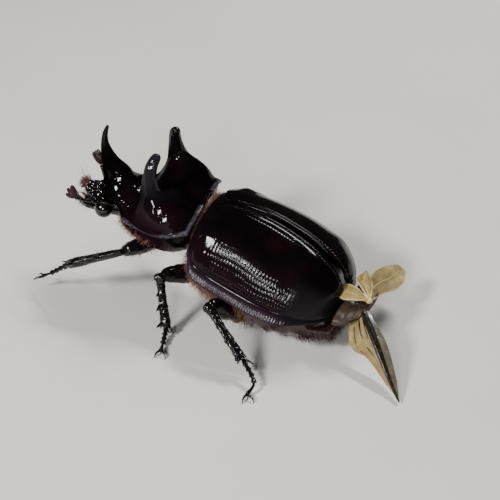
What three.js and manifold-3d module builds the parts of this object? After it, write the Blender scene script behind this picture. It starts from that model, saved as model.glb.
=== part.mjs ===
// A life-size male ox beetle (Strategus aloeus), a rhinoceros beetle with three horns on its pronotum.
// Millimetres, +Z up. The head points along -Y and the animal's left side is +X. It stands on z = 0.
import * as THREE from "three";
import { mergeVertices } from "three/addons/utils/BufferGeometryUtils.js";
import Module from "manifold-3d";

const wasm = await Module();
wasm.setup();

const { abs, cos, hypot, max, min, PI, sin } = Math;
const QUARTER_TURN = PI / 2;
const degrees = THREE.MathUtils.degToRad;

// ---------------------------------------------------------------- driving dimensions

const JOIN_GAP = 0.3; // clear space between pieces that touch in life

// The body stands on six legs, a little head up. The prothorax and head turn to the animal's left.
const STANCE = { height: 12.36, headUp: degrees(8.73) };
const NECK = { y: -1.5, z: 1.0, radius: 5, turn: degrees(10.84), nod: degrees(1.95) };

const ELYTRON = {
  length: 26,
  halfWidth: 11.7,
  baseHeight: 7.3,
  crownHeight: 8.3,
  apexHeight: 1.6,
  thickness: 0.9,
  seam: 0.16,
  opening: degrees(1.3),
  hingeY: 2.5,
};
const SCUTELLUM = { front: -0.6, tip: 2.2, thickness: 0.9 };
const ABDOMEN = { front: 8.9, rear: 26.3, inset: 1.3, segments: 6, groove: 0.22,
  halfWidth: [[8.9, 9.6], [14, 10.0], [18, 9.7], [21, 8.7], [24, 7.4], [26.3, 6.3]],
  belly: [[8, -7.8], [16, -8.4], [22, -8.0], [27, -5.8]] };
const PYGIDIUM = { front: 26.65, tip: 30.8, halfWidth: 6.6 };
const THORAX = { front: -1.1, rear: 8.55, underside: -8.3 };

const PRONOTUM = { frontY: -18.9, rearY: -0.9, frontCornerY: -12.6, rearCornerY: -1.3 };
// Each horn is its own piece above z, within the box from low to high seen from above.
const HORNS = {
  horn_front: { z: 4.6, low: [-4, -24], high: [4, -14.5] },
  horn_left: { z: 7.4, low: [1.5, -13.4], high: [10, -5.2] },
  horn_right: { z: 7.4, low: [-10, -13.4], high: [-1.5, -5.2] },
};
const HEAD = { clypeusY: -23.15, rearY: -14.2 };
const EYE = { x: 4.1, y: -17.6, z: -1.6, radius: 1.3 };

// Half-widths of a shin across and through, how they change along it, and the teeth on its outer side.
const DIGGING_SHIN = { broad: 1.5, thin: 0.85, teeth: [0.42, 0.66, 0.92], reach: 1.45, tooth: 0.75,
  flare: [[0, 0.65], [0.15, 0.85], [0.5, 0.88], [0.8, 1.0], [1, 0.98]] };
const WALKING_SHIN = { broad: 0.95, thin: 0.8, teeth: [0.36, 0.62, 0.94], reach: 1.0, tooth: 0.42,
  flare: [[0, 0.55], [0.1, 0.68], [0.4, 0.72], [0.75, 0.92], [1, 1.05]] };
const KNEE = { femurShort: 1.25, tibiaPast: 0.3 };
const CLAW = { length: 1.45, radius: 0.27 };
const MEMBRANE = { thickness: 0.52 };

const COLOUR = { shell: 0x17101a, head: 0x14151a, leg: 0x151013, abdomen: 0x4a2418, eye: 0x2a1610,
  club: 0x6b3a20, wing: 0xb59a5c, membrane: 0x8a5233, pygidium: 0x3c342f };

// ---------------------------------------------------------------- helpers

const point = (x, y, z) => new THREE.Vector3(x, y, z);
const mix = THREE.MathUtils.lerp;
const ease = THREE.MathUtils.smoothstep;
const power = (value, exponent) => Math.sign(value) * abs(value) ** exponent;

// A smooth curve through a few [position, value] stops.
function follow(t, stops) {
  const last = stops.length - 1;
  const slope = (i) => {
    const before = stops[max(i - 1, 0)];
    const after = stops[min(i + 1, last)];
    return (after[1] - before[1]) / (after[0] - before[0]);
  };
  const found = stops.findIndex((stop) => t <= stop[0]);
  const i = min(max((found < 0 ? last : found) - 1, 0), last - 1);
  const span = stops[i + 1][0] - stops[i][0];
  const k = min(max((t - stops[i][0]) / span, 0), 1);
  const enter = slope(i) * span;
  const leave = slope(i + 1) * span;
  const rise = stops[i + 1][1] - stops[i][1];
  const bend = 3 * rise - 2 * enter - leave;
  const twist = enter + leave - 2 * rise;
  return stops[i][1] + k * (enter + k * (bend + k * twist));
}

// Moves every vertex of a geometry and keeps positions alone, with shared vertices merged.
function warp(geometry, place) {
  const positions = geometry.attributes.position;
  const vertex = new THREE.Vector3();
  for (let i = 0; i < positions.count; i += 1) {
    vertex.copy(place(vertex.fromBufferAttribute(positions, i).clone()));
    positions.setXYZ(i, vertex.x, vertex.y, vertex.z);
  }
  geometry.deleteAttribute("normal");
  geometry.deleteAttribute("uv");
  return mergeVertices(geometry);
}

// A closed sleeve. place(t, angle, radius) gives a point of the ring at t; radius is 0 at a cap's centre.
function sleeve(sides, rings, place) {
  const tube = new THREE.CylinderGeometry(1, 1, 1, sides, rings);
  return warp(tube, (p) => place(p.y + 0.5, Math.atan2(p.x, p.z), min(hypot(p.x, p.z), 1)));
}

// A closed sheet. place(u, v, side) gives a point; side is 1 on the outer face and -1 on the inner one.
function sheet(across, along, place) {
  const slab = new THREE.BoxGeometry(1, 1, 1, across, along, 1);
  return warp(slab, (p) => place(p.x + 0.5, p.y + 0.5, 2 * p.z));
}

// An ellipsoid with its poles along Y.
function ball(centre, radii, sides = 10, rings = 7) {
  const sphere = new THREE.SphereGeometry(1, sides, rings);
  return warp(sphere, (p) => p.multiply(radii).add(centre));
}

// A tube along a curve. size(t) gives its half-widths across and along `up`.
function tube(curve, up, sides, rings, size) {
  return sleeve(sides, rings, (t, angle, radius) => {
    const along = curve.getTangentAt(t);
    const normal = up.clone().addScaledVector(along, -up.dot(along)).normalize();
    const across = along.clone().cross(normal);
    const [wide, tall] = size(t);
    return curve.getPointAt(t)
      .addScaledVector(across, sin(angle) * radius * wide)
      .addScaledVector(normal, cos(angle) * radius * tall);
  });
}

const curveThrough = (...points) => new THREE.CatmullRomCurve3(points, false, "centripetal");

function mirrored(geometry) {
  const copy = geometry.clone().scale(-1, 1, 1);
  const index = copy.index.array;
  for (let i = 0; i < index.length; i += 3) [index[i], index[i + 1]] = [index[i + 1], index[i]];
  return copy;
}

function solidOf(geometry) {
  const vertProperties = new Float32Array(geometry.attributes.position.array);
  const triVerts = new Uint32Array(geometry.index.array);
  return new wasm.Manifold(new wasm.Mesh({ numProp: 3, vertProperties, triVerts }));
}

function geometryOf(solid) {
  const mesh = solid.getMesh();
  const geometry = new THREE.BufferGeometry();
  geometry.setAttribute("position", new THREE.BufferAttribute(mesh.vertProperties, 3));
  geometry.setIndex(new THREE.BufferAttribute(mesh.triVerts, 1));
  return geometry;
}

const join = (...pieces) => geometryOf(pieces.map(solidOf).reduce((sum, next) => sum.add(next)));
const cut = (piece, ...tools) => geometryOf(
  tools.map(solidOf).reduce((rest, tool) => rest.subtract(tool), solidOf(piece)));
const common = (first, second) => geometryOf(solidOf(first).intersect(solidOf(second)));

function block(low, high) {
  const size = high.clone().sub(low);
  const box = new THREE.BoxGeometry(size.x, size.y, size.z);
  return warp(box, (p) => p.add(low).addScaledVector(size, 0.5));
}

// ---------------------------------------------------------------- the three frames

const animal = new THREE.Group();
const body = new THREE.Group(); // origin at the elytra base, level with the elytra's side edge
body.position.z = STANCE.height;
body.rotation.x = -STANCE.headUp;
const fore = new THREE.Group(); // the prothorax and head, hinged on the neck
fore.position.set(0, NECK.y, NECK.z);
fore.rotation.set(-NECK.nod, 0, NECK.turn, "ZXY");
body.add(fore);
animal.add(body);
animal.updateMatrixWorld(true);

const intoFrame = (geometry, frame) => geometry.clone().applyMatrix4(frame.matrixWorld.clone().invert());
const outOfFrame = (position, frame) => position.clone().applyMatrix4(frame.matrixWorld);

function addPiece(frame, name, geometry, colour, roughness = 0.25) {
  const material = new THREE.MeshStandardMaterial({ color: colour, roughness, metalness: 0 });
  const mesh = new THREE.Mesh(geometry, material);
  mesh.name = name;
  frame.add(mesh);
}

// ---------------------------------------------------------------- wing cases and the body under them

// Half-width, edge height and crown height of the closed wing cases. q is 0 at the base and 1 at the tip.
function shellHalfWidth(q) {
  const shoulder = 1 - 0.2 * max(1 - q / 0.12, 0) ** 2;
  const side = 0.92 + 0.08 * ease(q, 0, 0.62);
  const rear = (1 - max((q - 0.5) / 0.5, 0) ** 2.6) ** (1 / 2.6);
  return ELYTRON.halfWidth * shoulder * side * rear;
}

const shellEdge = (q) => -1.24 + 2 * max(1 - q / 0.35, 0) ** 2 - 1.5 * max((q - 0.7) / 0.3, 0) ** 2;

function shellCrown(q) {
  const { baseHeight, crownHeight, apexHeight } = ELYTRON;
  const peak = 0.3;
  if (q < peak) return crownHeight - (crownHeight - baseHeight) * (1 - q / peak) ** 2;
  return apexHeight + (crownHeight - apexHeight) * (1 - min((q - peak) / (1 - peak), 1) ** 1.8) ** 0.6;
}

// A point of the left wing case's outer face: across from the seam to the side, along to the tip.
function elytronFace(across, along) {
  const last = 0.985; // stops short of the point where the outline would close to nothing
  const q = sin(QUARTER_TURN * last * along);
  const angle = QUARTER_TURN * across;
  const crosswise = sin(angle);
  const scutellumCut = 2.5 * max(1 - crosswise / 0.28, 0);
  const notch = 0.9 * q ** 10 * (1 - crosswise) ** 3;
  const x = shellHalfWidth(q) * crosswise ** 0.87 + ELYTRON.seam;
  const y = mix(scutellumCut, ELYTRON.length, q) - notch;
  return point(x, y, shellEdge(q) + (shellCrown(q) - shellEdge(q)) * cos(angle) ** 1.35);
}

function elytron() {
  const step = 0.01;
  const shell = sheet(9, 11, (u, v, side) => {
    const here = elytronFace(u, v);
    if (side > 0) return here;
    const uLow = min(u, 1 - step);
    const vLow = min(v, 1 - step);
    const alongU = elytronFace(uLow + step, vLow).sub(elytronFace(uLow, vLow));
    const alongV = elytronFace(uLow, vLow + step).sub(elytronFace(uLow, vLow));
    const inner = here.addScaledVector(alongU.cross(alongV).normalize(), -ELYTRON.thickness);
    inner.x = max(inner.x, ELYTRON.seam);
    return inner;
  });
  return shell.translate(0, -ELYTRON.hingeY, 0).rotateZ(-ELYTRON.opening).translate(0, ELYTRON.hingeY, 0);
}

function scutellum() {
  return sheet(2, 2, (u, v, side) => {
    const y = mix(SCUTELLUM.front, SCUTELLUM.tip, v);
    const halfWidth = 0.25 + 1.02 * (SCUTELLUM.tip - y);
    const crosswise = 2 * u - 1;
    const z = 7.05 + 0.16 * y - 0.5 * crosswise ** 2 * (1 - v) - (side < 0 ? SCUTELLUM.thickness : 0);
    return point(crosswise * halfWidth, y, z);
  });
}

// The abdomen fills the wing cases, swells below their edge and passes under their tips at the rear.
function abdomen() {
  const { front, rear, inset, segments, groove, halfWidth, belly } = ABDOMEN;
  const rings = 2 * segments;
  return sleeve(14, rings, (t, angle, radius) => {
    const y = mix(front, rear, t);
    const inGroove = t > 0 && t < 1 && Math.round(t * rings) % 2 === 0;
    const tuck = ease(y, 20.5, 24);
    const width = follow(y, halfWidth) - (inGroove ? groove : 0);
    const bottom = follow(y, belly) + (inGroove ? groove : 0);
    const edge = mix(shellEdge(min(y / ELYTRON.length, 0.85)), -4.2, tuck);
    const roof = mix(shellCrown(min((y + 2) / ELYTRON.length, 1)) - inset - 0.4, -3.2, tuck);
    const top = abs(angle) < QUARTER_TURN;
    const lift = (roof - edge) * max(cos(angle), 0) ** 1.35;
    const drop = (bottom - edge) * abs(cos(angle)) ** 0.4;
    const height = top ? lift : drop;
    const swell = top ? 1 : 1 + 0.1 * abs(cos(angle)) * (1 - tuck);
    return point(width * swell * power(sin(angle), 0.87) * radius, y, edge + height * radius);
  });
}

// The last segment, a rimmed plate that closes the abdomen behind the wing cases.
function pygidium(grow = 0) {
  const { front, tip, halfWidth } = PYGIDIUM;
  return sleeve(14, 4, (t, angle, radius) => {
    const reach = sin(QUARTER_TURN * 0.94 * t);
    const y = mix(front, tip, reach);
    const narrowing = cos(QUARTER_TURN * 0.94 * t) ** 0.8;
    const edge = mix(-1.5, -0.1, reach);
    const top = mix(-0.1, 0.35, reach);
    const under = mix(-4.6, -0.7, reach ** 1.6);
    const lift = (top - edge + grow) * cos(angle);
    const drop = (under - edge - grow) * abs(cos(angle)) ** 0.7;
    const height = cos(angle) > 0 ? lift : drop;
    const side = (halfWidth * narrowing + grow) * power(sin(angle), 0.9);
    return point(side * radius, y + grow * (2 * reach - 1), edge + height * radius);
  });
}

// The hind thorax, from the neck to the first abdominal ring.
function thorax() {
  return sleeve(16, 4, (t, angle, radius) => {
    const y = mix(THORAX.front, THORAX.rear, t);
    const halfWidth = follow(y, [[-1.1, 6.8], [0.5, 8.0], [4, 9.4], [8.6, 9.9]]);
    const roof = follow(y, [[-1.1, 5.2], [1, 5.7], [4, 6.2], [8.6, 6.6]]);
    const keel = follow(y, [[-1.1, -6.6], [1, -7.9], [5, THORAX.underside], [8.6, -7.7]]);
    const edge = -0.9;
    const lift = (roof - edge) * max(cos(angle), 0) ** 1.2;
    const drop = (keel - edge) * abs(cos(angle)) ** 0.75;
    const height = cos(angle) > 0 ? lift : drop;
    return point(halfWidth * power(sin(angle), 0.95) * radius, y, edge + height * radius);
  });
}

// ---------------------------------------------------------------- prothorax and its three horns

// Height of the pronotum's crown at y: an apron in front, a saddle between the rear horns, a dome behind.
function pronotumCrown(y) {
  const apron = 1.0 + 1.6 * ease(y, -18.9, -15);
  const saddle = 2.0 * ease(y, -12.2, -9);
  const dome = 1.4 * ease(y, -9.5, -5) - 1.1 * ease(y, -5, -0.9);
  return apron + saddle + dome;
}

function prothorax() {
  return sleeve(24, 12, (t, angle, radius) => {
    const turn = angle / PI;
    const upper = abs(turn) <= 2 / 3; // two thirds of the ring's vertices lie on the back
    const fan = upper ? turn * 1.5 * QUARTER_TURN : Math.sign(turn) * (1 - abs(turn)) * 3 * QUARTER_TURN;
    const s = sin(fan);
    const rimX = follow(t, [[0, 5.5], [0.3, 8.0], [0.62, 9.4], [0.85, 9.2], [1, 8.3]]);
    const rimY = mix(PRONOTUM.frontCornerY, PRONOTUM.rearCornerY, t);
    const rimZ = follow(t, [[0, -2.5], [0.35, -0.9], [0.66, 0.3], [1, 2.6]]);
    if (upper) {
      const y = mix(mix(PRONOTUM.frontY, PRONOTUM.rearY, t), rimY, abs(s) ** 1.7);
      const arch = (1 - s * s) ** 0.6;
      const side = 1.6 * ease(y, -12.6, -10) * (1 - ease(y, -5, -2)) * s * s * arch; // swollen flank
      const z = rimZ + (pronotumCrown(y) - rimZ) * arch + side;
      return point(rimX * s * radius, mix(mix(-14.6, -1.4, t), y, radius), mix(-1.5, z, radius));
    }
    const keel = follow(t, [[0, -5.0], [0.4, -6.5], [0.8, -6.4], [1, -5.2]]);
    const y = mix(mix(-13.6, -1.8, t), rimY, abs(s) ** 1.7);
    const z = rimZ + (keel - rimZ) * cos(fan) ** 0.9;
    return point(rimX * power(s, 1.25), y, z);
  });
}

function frontHorn() {
  const path = curveThrough(point(0, -16.2, 0.2), point(0, -17.4, 3.2), point(0, -19.0, 5.4),
    point(0, -20.35, 8.2), point(0, -20.7, 10.6), point(0, -20.4, 12.5));
  const wide = [[0, 4.6], [0.25, 2.6], [0.45, 1.6], [0.7, 0.85], [0.9, 0.48], [1, 0.26]];
  const deep = [[0, 2.6], [0.25, 1.7], [0.45, 1.15], [0.7, 0.62], [0.9, 0.4], [1, 0.26]];
  return tube(path, point(0, 1, 0), 8, 8, (t) => [follow(t, wide), follow(t, deep)]);
}

function rearHorn() {
  const path = curveThrough(point(6.6, -7.6, 1.6), point(6.7, -8.5, 4.8), point(6.5, -9.25, 7.2),
    point(6.05, -9.85, 9.6), point(5.3, -10.0, 11.7), point(4.1, -9.6, 13.5));
  const wide = [[0, 3.0], [0.25, 2.5], [0.45, 1.55], [0.65, 1.1], [0.83, 0.9], [0.95, 0.72], [1, 0.42]];
  const deep = [[0, 4.6], [0.25, 2.8], [0.45, 1.7], [0.65, 1.15], [0.83, 0.95], [0.95, 0.75], [1, 0.42]];
  return tube(path, point(0, 1, 0), 8, 8, (t) => [follow(t, wide), follow(t, deep)]);
}

// ---------------------------------------------------------------- head

function headForm(grow = 0) {
  return sleeve(12, 7, (t, angle, radius) => {
    const y = mix(HEAD.clypeusY, HEAD.rearY, t);
    const girths = [[0, 1.1], [0.08, 1.6], [0.3, 2.5], [0.5, 3.5], [0.62, 3.9], [0.8, 3.8], [1, 3.4]];
    const wide = follow(t, girths) + grow;
    const top = follow(t, [[0, -1.4], [0.15, -0.9], [0.35, -0.1], [0.6, 0.5], [1, 0.3]]) + grow;
    const under = follow(t, [[0, -2.3], [0.2, -3.0], [0.5, -4.4], [1, -4.8]]) - grow;
    const middle = (top + under) / 2 + 0.1;
    const reach = cos(angle) > 0 ? top - middle : under - middle;
    const height = reach * abs(cos(angle)) ** 0.8;
    return point(wide * power(sin(angle), 0.9) * radius, y, middle + height * radius);
  });
}

function eyeAt(side, radius) {
  return ball(point(side * EYE.x, EYE.y, EYE.z), point(radius, radius, radius), 8, 6);
}

// Feelers: a jointed stalk from under the eye's shield and a club of three leaves.
const FEELER = {
  left: { root: point(2.9, -20.1, -1.9), bend: point(3.9, -21.3, -1.5), end: point(5.2, -22.7, -0.6),
    leaves: [point(4.9, -23.7, 1.5), point(4.6, -24.6, 0.2), point(4.9, -24.6, -1.0)] },
  right: { root: point(-2.9, -20.1, -1.9), bend: point(-4.2, -21.3, -1.2), end: point(-5.3, -22.4, -0.2),
    leaves: [point(-6.3, -24.3, 1.6), point(-5.8, -24.5, 1.5), point(-6.8, -24.0, 1.7)] },
};

function feeler({ root, bend, end, leaves }) {
  const up = point(0, 0, 1);
  const stalk = tube(curveThrough(root, bend, end), up, 4, 4, (t) => {
    const joint = 0.3 + 0.05 * sin(8 * PI * t) + 0.12 * t ** 4;
    return [joint, joint];
  });
  const club = leaves.map((tip) => tube(new THREE.LineCurve3(end, tip), point(1, 0.2, 0), 4, 2, (t) => {
    const leaf = max(sin(PI * (0.12 + 0.8 * t)) ** 0.6, 0.45);
    return [0.64 * leaf, 0.31];
  }));
  return join(stalk, ...club);
}

function mouthparts() {
  const up = point(0, 0, 1);
  const jaw = ball(point(0, -19.6, -4.5), point(1.9, 2.6, 0.9), 8, 5);
  const pieces = [-1, 1].flatMap((side) => {
    const blade = curveThrough(point(side * 1.2, -20.6, -4.3), point(side * 1.9, -22.6, -3.6),
      point(side * 1.5, -24.0, -2.8));
    const finger = curveThrough(point(side * 1.5, -19.6, -4.8), point(side * 2.6, -21.4, -4.3),
      point(side * 2.5, -23.6, -3.4));
    return [
      tube(blade, up, 4, 2, (t) => [mix(0.6, 0.3, t), mix(0.5, 0.28, t)]),
      tube(finger, up, 4, 2, () => [0.32, 0.3]),
    ];
  });
  return join(jaw, ...pieces);
}

// ---------------------------------------------------------------- legs

// Joints of each leg, standing in the animal's own frame.
// out points away from the body on the outer side of the shin.
const hipAt = (x, y, z, frame) => outOfFrame(point(x, y, z), frame);
const LEGS = [
  { name: "fore_left", shin: DIGGING_SHIN, out: point(0.85, 0.17, 0.5), hip: hipAt(3.2, -7, -5.5, fore),
    knee: point(12, -11.3, 11), ankle: point(15.8, -20.2, 7.5), toe: point(16.3, -27, 2.5) },
  { name: "fore_right", shin: DIGGING_SHIN, out: point(-0.9, 0.1, 0.35), hip: hipAt(-3.2, -7, -5.5, fore),
    knee: point(-9.6, -13.2, 11.4), ankle: point(-13.2, -18.4, 3.7), toe: point(-14.6, -23.6, 0) },
  { name: "mid_left", shin: WALKING_SHIN, out: point(0.9, -0.3, 0.2), hip: hipAt(3.8, 1.5, -7, body),
    knee: point(12.8, -3.1, 9.6), ankle: point(15.8, -0.2, 1.6), toe: point(21.9, 2.25, 0) },
  { name: "mid_right", shin: WALKING_SHIN, out: point(-0.9, -0.3, 0.2), hip: hipAt(-3.8, 1.5, -7, body),
    knee: point(-13.2, -1.6, 9.9), ankle: point(-17.2, 1.6, 1.9), toe: point(-22.8, 4.4, 0) },
  { name: "hind_left", shin: WALKING_SHIN, out: point(0.8, -0.2, 0.5),
    hip: hipAt(8.8, 11.1, -7.5, body), socket: hipAt(3.4, 6.6, -6.2, body),
    knee: point(15.3, 7.7, 9.1), ankle: point(18.3, 16.1, 2.9), toe: point(24.25, 20.4, 0), sway: 1.6 },
  { name: "hind_right", shin: WALKING_SHIN, out: point(-0.8, -0.2, 0.5),
    hip: hipAt(-8.8, 11.1, -7.5, body), socket: hipAt(-3.4, 6.6, -6.2, body),
    knee: point(-14.3, 7.5, 9.6), ankle: point(-15.2, 14.8, 2.4), toe: point(-20.8, 16.5, 0) },
];

const towards = (from, to, distance) => from.clone().add(to.clone().sub(from).setLength(distance));

// The thigh, from its round head in the hip socket. Grown, it cuts its own room in the body.
function femur({ hip, knee, out }, grow = 0) {
  const start = towards(hip, knee, -1.1 - grow);
  const middle = hip.clone().lerp(knee, 0.5).add(point(0, 0, 0.4));
  const end = towards(knee, hip, KNEE.femurShort - grow);
  const swelling = [[0, 0.35], [0.12, 1.05], [0.25, 0.95], [0.55, 1.35], [0.85, 1.0], [1, 0.7]];
  return tube(curveThrough(start, middle, end), out.clone().cross(knee.clone().sub(hip)), 7, 6, (t) => {
    const girth = follow(t, swelling);
    return [girth * 1.25 + grow, girth * 0.85 + grow];
  });
}

// The hind hips sit at the ends of broad swollen plates under the body.
function coxa({ socket, hip }, grow = 0) {
  const plate = curveThrough(socket, socket.clone().lerp(hip, 0.5), towards(hip, socket, -0.6));
  return tube(plate, point(0, 0, 1), 7, 3, (t) => {
    const girth = 0.6 + 0.4 * sin(PI * (0.15 + 0.7 * t));
    return [2.3 * girth + grow, 1.7 * girth + grow];
  });
}

function spine(root, tip, radius) {
  const steep = abs(tip.z - root.z) > hypot(tip.x - root.x, tip.y - root.y);
  const up = steep ? point(1, 0, 0) : point(0, 0, 1);
  return tube(new THREE.LineCurve3(root, tip), up, 4, 1, (t) => {
    const width = mix(radius, 0.12, t);
    return [width, width];
  });
}

// The shin widens to its end, with sharp teeth on its outer side and two spurs. A digging shin is flat.
function tibia({ knee, ankle, out, shin }) {
  const along = ankle.clone().sub(knee);
  const length = along.length();
  const forward = along.clone().normalize();
  const outer = out.clone().addScaledVector(forward, -out.dot(forward)).normalize();
  const sideways = forward.clone().cross(outer);
  const start = towards(knee, ankle, -KNEE.tibiaPast);
  const end = towards(ankle, knee, 0.35);
  const middle = knee.clone().lerp(ankle, 0.45).addScaledVector(outer, 0.1);
  const shaft = tube(curveThrough(start, middle, end), outer, 7, 5, (t) => {
    const flare = follow(t, shin.flare);
    return [flare * shin.thin, flare * shin.broad];
  });
  const teeth = shin.teeth.map((t, row) => {
    const halfGirth = shin.broad * (0.25 + 0.325 * t);
    const reach = halfGirth + shin.reach * (0.75 + 0.18 * row);
    const foot = knee.clone().addScaledVector(forward, t * length - 0.5);
    const root = foot.addScaledVector(outer, halfGirth);
    const tip = root.clone().addScaledVector(outer, reach).addScaledVector(forward, 0.7);
    return spine(root, tip, shin.tooth);
  });
  const spurs = [-1, 1].map((side) => {
    const root = end.clone().addScaledVector(forward, -0.5).addScaledVector(outer, -0.55);
    const tip = root.clone().addScaledVector(forward, 1.5).addScaledVector(outer, -0.45)
      .addScaledVector(sideways, 0.7 * side);
    return spine(root, tip, 0.34);
  });
  return join(shaft, ...teeth, ...spurs);
}

// The foot: five joints and two claws, cut flat where it stands.
function tarsus({ ankle, toe, sway = 0 }) {
  const flat = point(toe.x - ankle.x, toe.y - ankle.y, 0).normalize();
  const side = point(-flat.y, flat.x, 0);
  const start = towards(ankle, toe, 0.3);
  const lift = toe.z + 0.42;
  const heel = toe.clone().addScaledVector(flat, -CLAW.length).setZ(lift + 0.35);
  const middle = start.clone().lerp(heel, 0.55).add(point(0, sway, -0.25));
  const joints = 5;
  const stalk = tube(curveThrough(start, middle, heel), point(0, 0, 1), 4, 2 * joints, (t) => {
    const width = [0.34, 0.56][Math.round(t * 2 * joints) % 2] * (t < 1 ? 1 : 1.3);
    return [width, width * 0.92];
  });
  const claws = [-1, 1].map((lean) => {
    const tip = toe.clone().addScaledVector(side, 0.95 * lean).setZ(toe.z + 0.05);
    const halfway = heel.clone().addScaledVector(flat, CLAW.length * 0.5);
    const knuckle = halfway.addScaledVector(side, 0.75 * lean).setZ(toe.z + 0.24);
    const hook = curveThrough(heel.clone().addScaledVector(flat, -0.2), knuckle, tip);
    return tube(hook, point(0, 0, 1), 4, 2, (t) => {
      const width = CLAW.radius * mix(1.15, 0.75, t);
      return [width, width];
    });
  });
  const span = 60; // well past every foot
  const ground = block(point(-span, -span, -5), point(span, span, 0));
  return cut(join(stalk, ...claws), ground);
}

// ---------------------------------------------------------------- hind wings

// A leaf of membrane between two edges, thick enough to stand as a solid.
function membrane(firstEdge, secondEdge, across, along, ripple) {
  const surface = (u, v) => {
    const middle = firstEdge.getPointAt(v).lerp(secondEdge.getPointAt(v), u);
    return middle.add(point(0, 0, ripple(u, v)));
  };
  const step = 0.01;
  return sheet(across, along, (u, v, side) => {
    const uLow = min(u, 1 - step);
    const vLow = min(v, 1 - step);
    const alongU = surface(uLow + step, vLow).sub(surface(uLow, vLow));
    const alongV = surface(uLow, vLow + step).sub(surface(uLow, vLow));
    return surface(u, v).addScaledVector(alongU.cross(alongV).normalize(), side * MEMBRANE.thickness / 2);
  });
}

const flatLeaf = () => 0;

function leftWing() {
  const root = point(2.5, 29.9, 8.0);
  const tip = point(12.3, 41.4, 0.5);
  const costa = curveThrough(root, point(6.2, 34.2, 5.2), point(9.6, 38.2, 2.3), tip);
  const vein = tube(costa, point(0, 0, 1), 4, 5, (t) => {
    const width = mix(0.62, 0.36, t);
    return [width, width * 0.8];
  });
  const outerEdge = curveThrough(point(3.5, 28.9, 6.4), point(6.4, 30.8, 3.0), point(7.9, 34.6, 0.9),
    point(10.0, 38.0, 0.6), tip.clone().add(point(-0.9, -0.3, 0)));
  const innerEdge = curveThrough(point(2.5, 29.9, 7.8), point(6.2, 34.2, 5.0),
    point(9.6, 38.2, 2.1), tip);
  const crumple = (u, v) => 0.35 * sin(5 * PI * u) * sin(PI * v) * (1 - u);
  const web = membrane(outerEdge, innerEdge, 4, 5, crumple);
  const backEdge = curveThrough(point(1.6, 30.3, 7.8), point(5.0, 35.6, 5.0), point(8.9, 39.2, 2.2), tip);
  const strip = membrane(innerEdge, backEdge, 1, 5, flatLeaf);
  return join(vein, web, strip);
}

function rightWing() {
  const pivot = point(-1.9, 29.9, 8.6);
  const beside = (x, y, z) => pivot.clone().add(point(x, y, z));
  const leaf = (first, second) => {
    return membrane(curveThrough(...first), curveThrough(...second), 1, 4, flatLeaf);
  };
  const inner = leaf([pivot, point(-0.6, 28.6, 9.9), point(0.6, 26.8, 10.0)],
    [beside(-0.6, -0.3, 0), point(-2.5, 27.8, 9.9), point(-2.3, 26.3, 10.1)]);
  const middle = leaf([pivot, point(-3.6, 27.8, 9.4), point(-6.0, 26.2, 9.3)],
    [beside(-0.3, 0.6, 0), point(-5.8, 28.6, 8.9), point(-8.2, 27.2, 8.9)]);
  const outer = leaf([beside(0, 0.4, -0.5), point(-6.2, 31.2, 6.6), point(-11.6, 31.3, 5.4)],
    [beside(-0.9, -0.5, 0.1), point(-7.6, 27.6, 8.2), point(-13.6, 27.9, 6.8)]);
  const lobe = ball(point(-12.9, 29.6, 6.0), point(3.1, 2.0, 0.42), 10, 4);
  return join(inner, middle, outer, lobe);
}

// ---------------------------------------------------------------- assembly

const femurRoom = LEGS.map((leg) => femur(leg, JOIN_GAP));
const neckBall = (radius) => ball(point(0, NECK.y, NECK.z), point(radius, radius, radius));
const neckRoom = neckBall(NECK.radius + JOIN_GAP);

function clearOfLegs(geometry, frame) {
  return cut(geometry, ...femurRoom.map((room) => intoFrame(room, frame)));
}

function addTrunk() {
  const leftElytron = elytron();
  addPiece(body, "elytron_left", leftElytron, COLOUR.shell);
  addPiece(body, "elytron_right", mirrored(leftElytron), COLOUR.shell);
  addPiece(body, "scutellum", scutellum(), COLOUR.shell);
  const hindLegs = LEGS.filter((leg) => leg.socket);
  const plates = hindLegs.map((leg) => intoFrame(coxa(leg), body));
  const plateRoom = hindLegs.map((leg) => intoFrame(coxa(leg, JOIN_GAP), body));
  const breast = join(cut(thorax(), neckRoom), ...plates);
  addPiece(body, "thorax", clearOfLegs(breast, body), COLOUR.membrane, 0.5);
  addPiece(body, "abdomen", clearOfLegs(cut(abdomen(), ...plateRoom), body), COLOUR.abdomen, 0.35);
  addPiece(body, "pygidium", pygidium(), COLOUR.pygidium, 0.4);
  addPiece(body, "neck", neckBall(NECK.radius), COLOUR.membrane, 0.6);
}

function addForebody() {
  const ceiling = 20;
  const above = ({ z, low, high }, gap) => block(point(...low, z - gap), point(...high, ceiling));
  const whole = join(prothorax(), frontHorn(), rearHorn(), mirrored(rearHorn()));
  Object.entries(HORNS).forEach(([name, horn]) => {
    addPiece(fore, name, common(whole, above(horn, 0)), COLOUR.shell);
  });
  const neckSocket = intoFrame(neckRoom.clone().applyMatrix4(body.matrixWorld), fore);
  const hornRoom = Object.values(HORNS).map((horn) => above(horn, JOIN_GAP));
  const base = cut(whole, ...hornRoom, headForm(JOIN_GAP), neckSocket);
  addPiece(fore, "pronotum", clearOfLegs(base, fore), COLOUR.shell);
}

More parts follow.
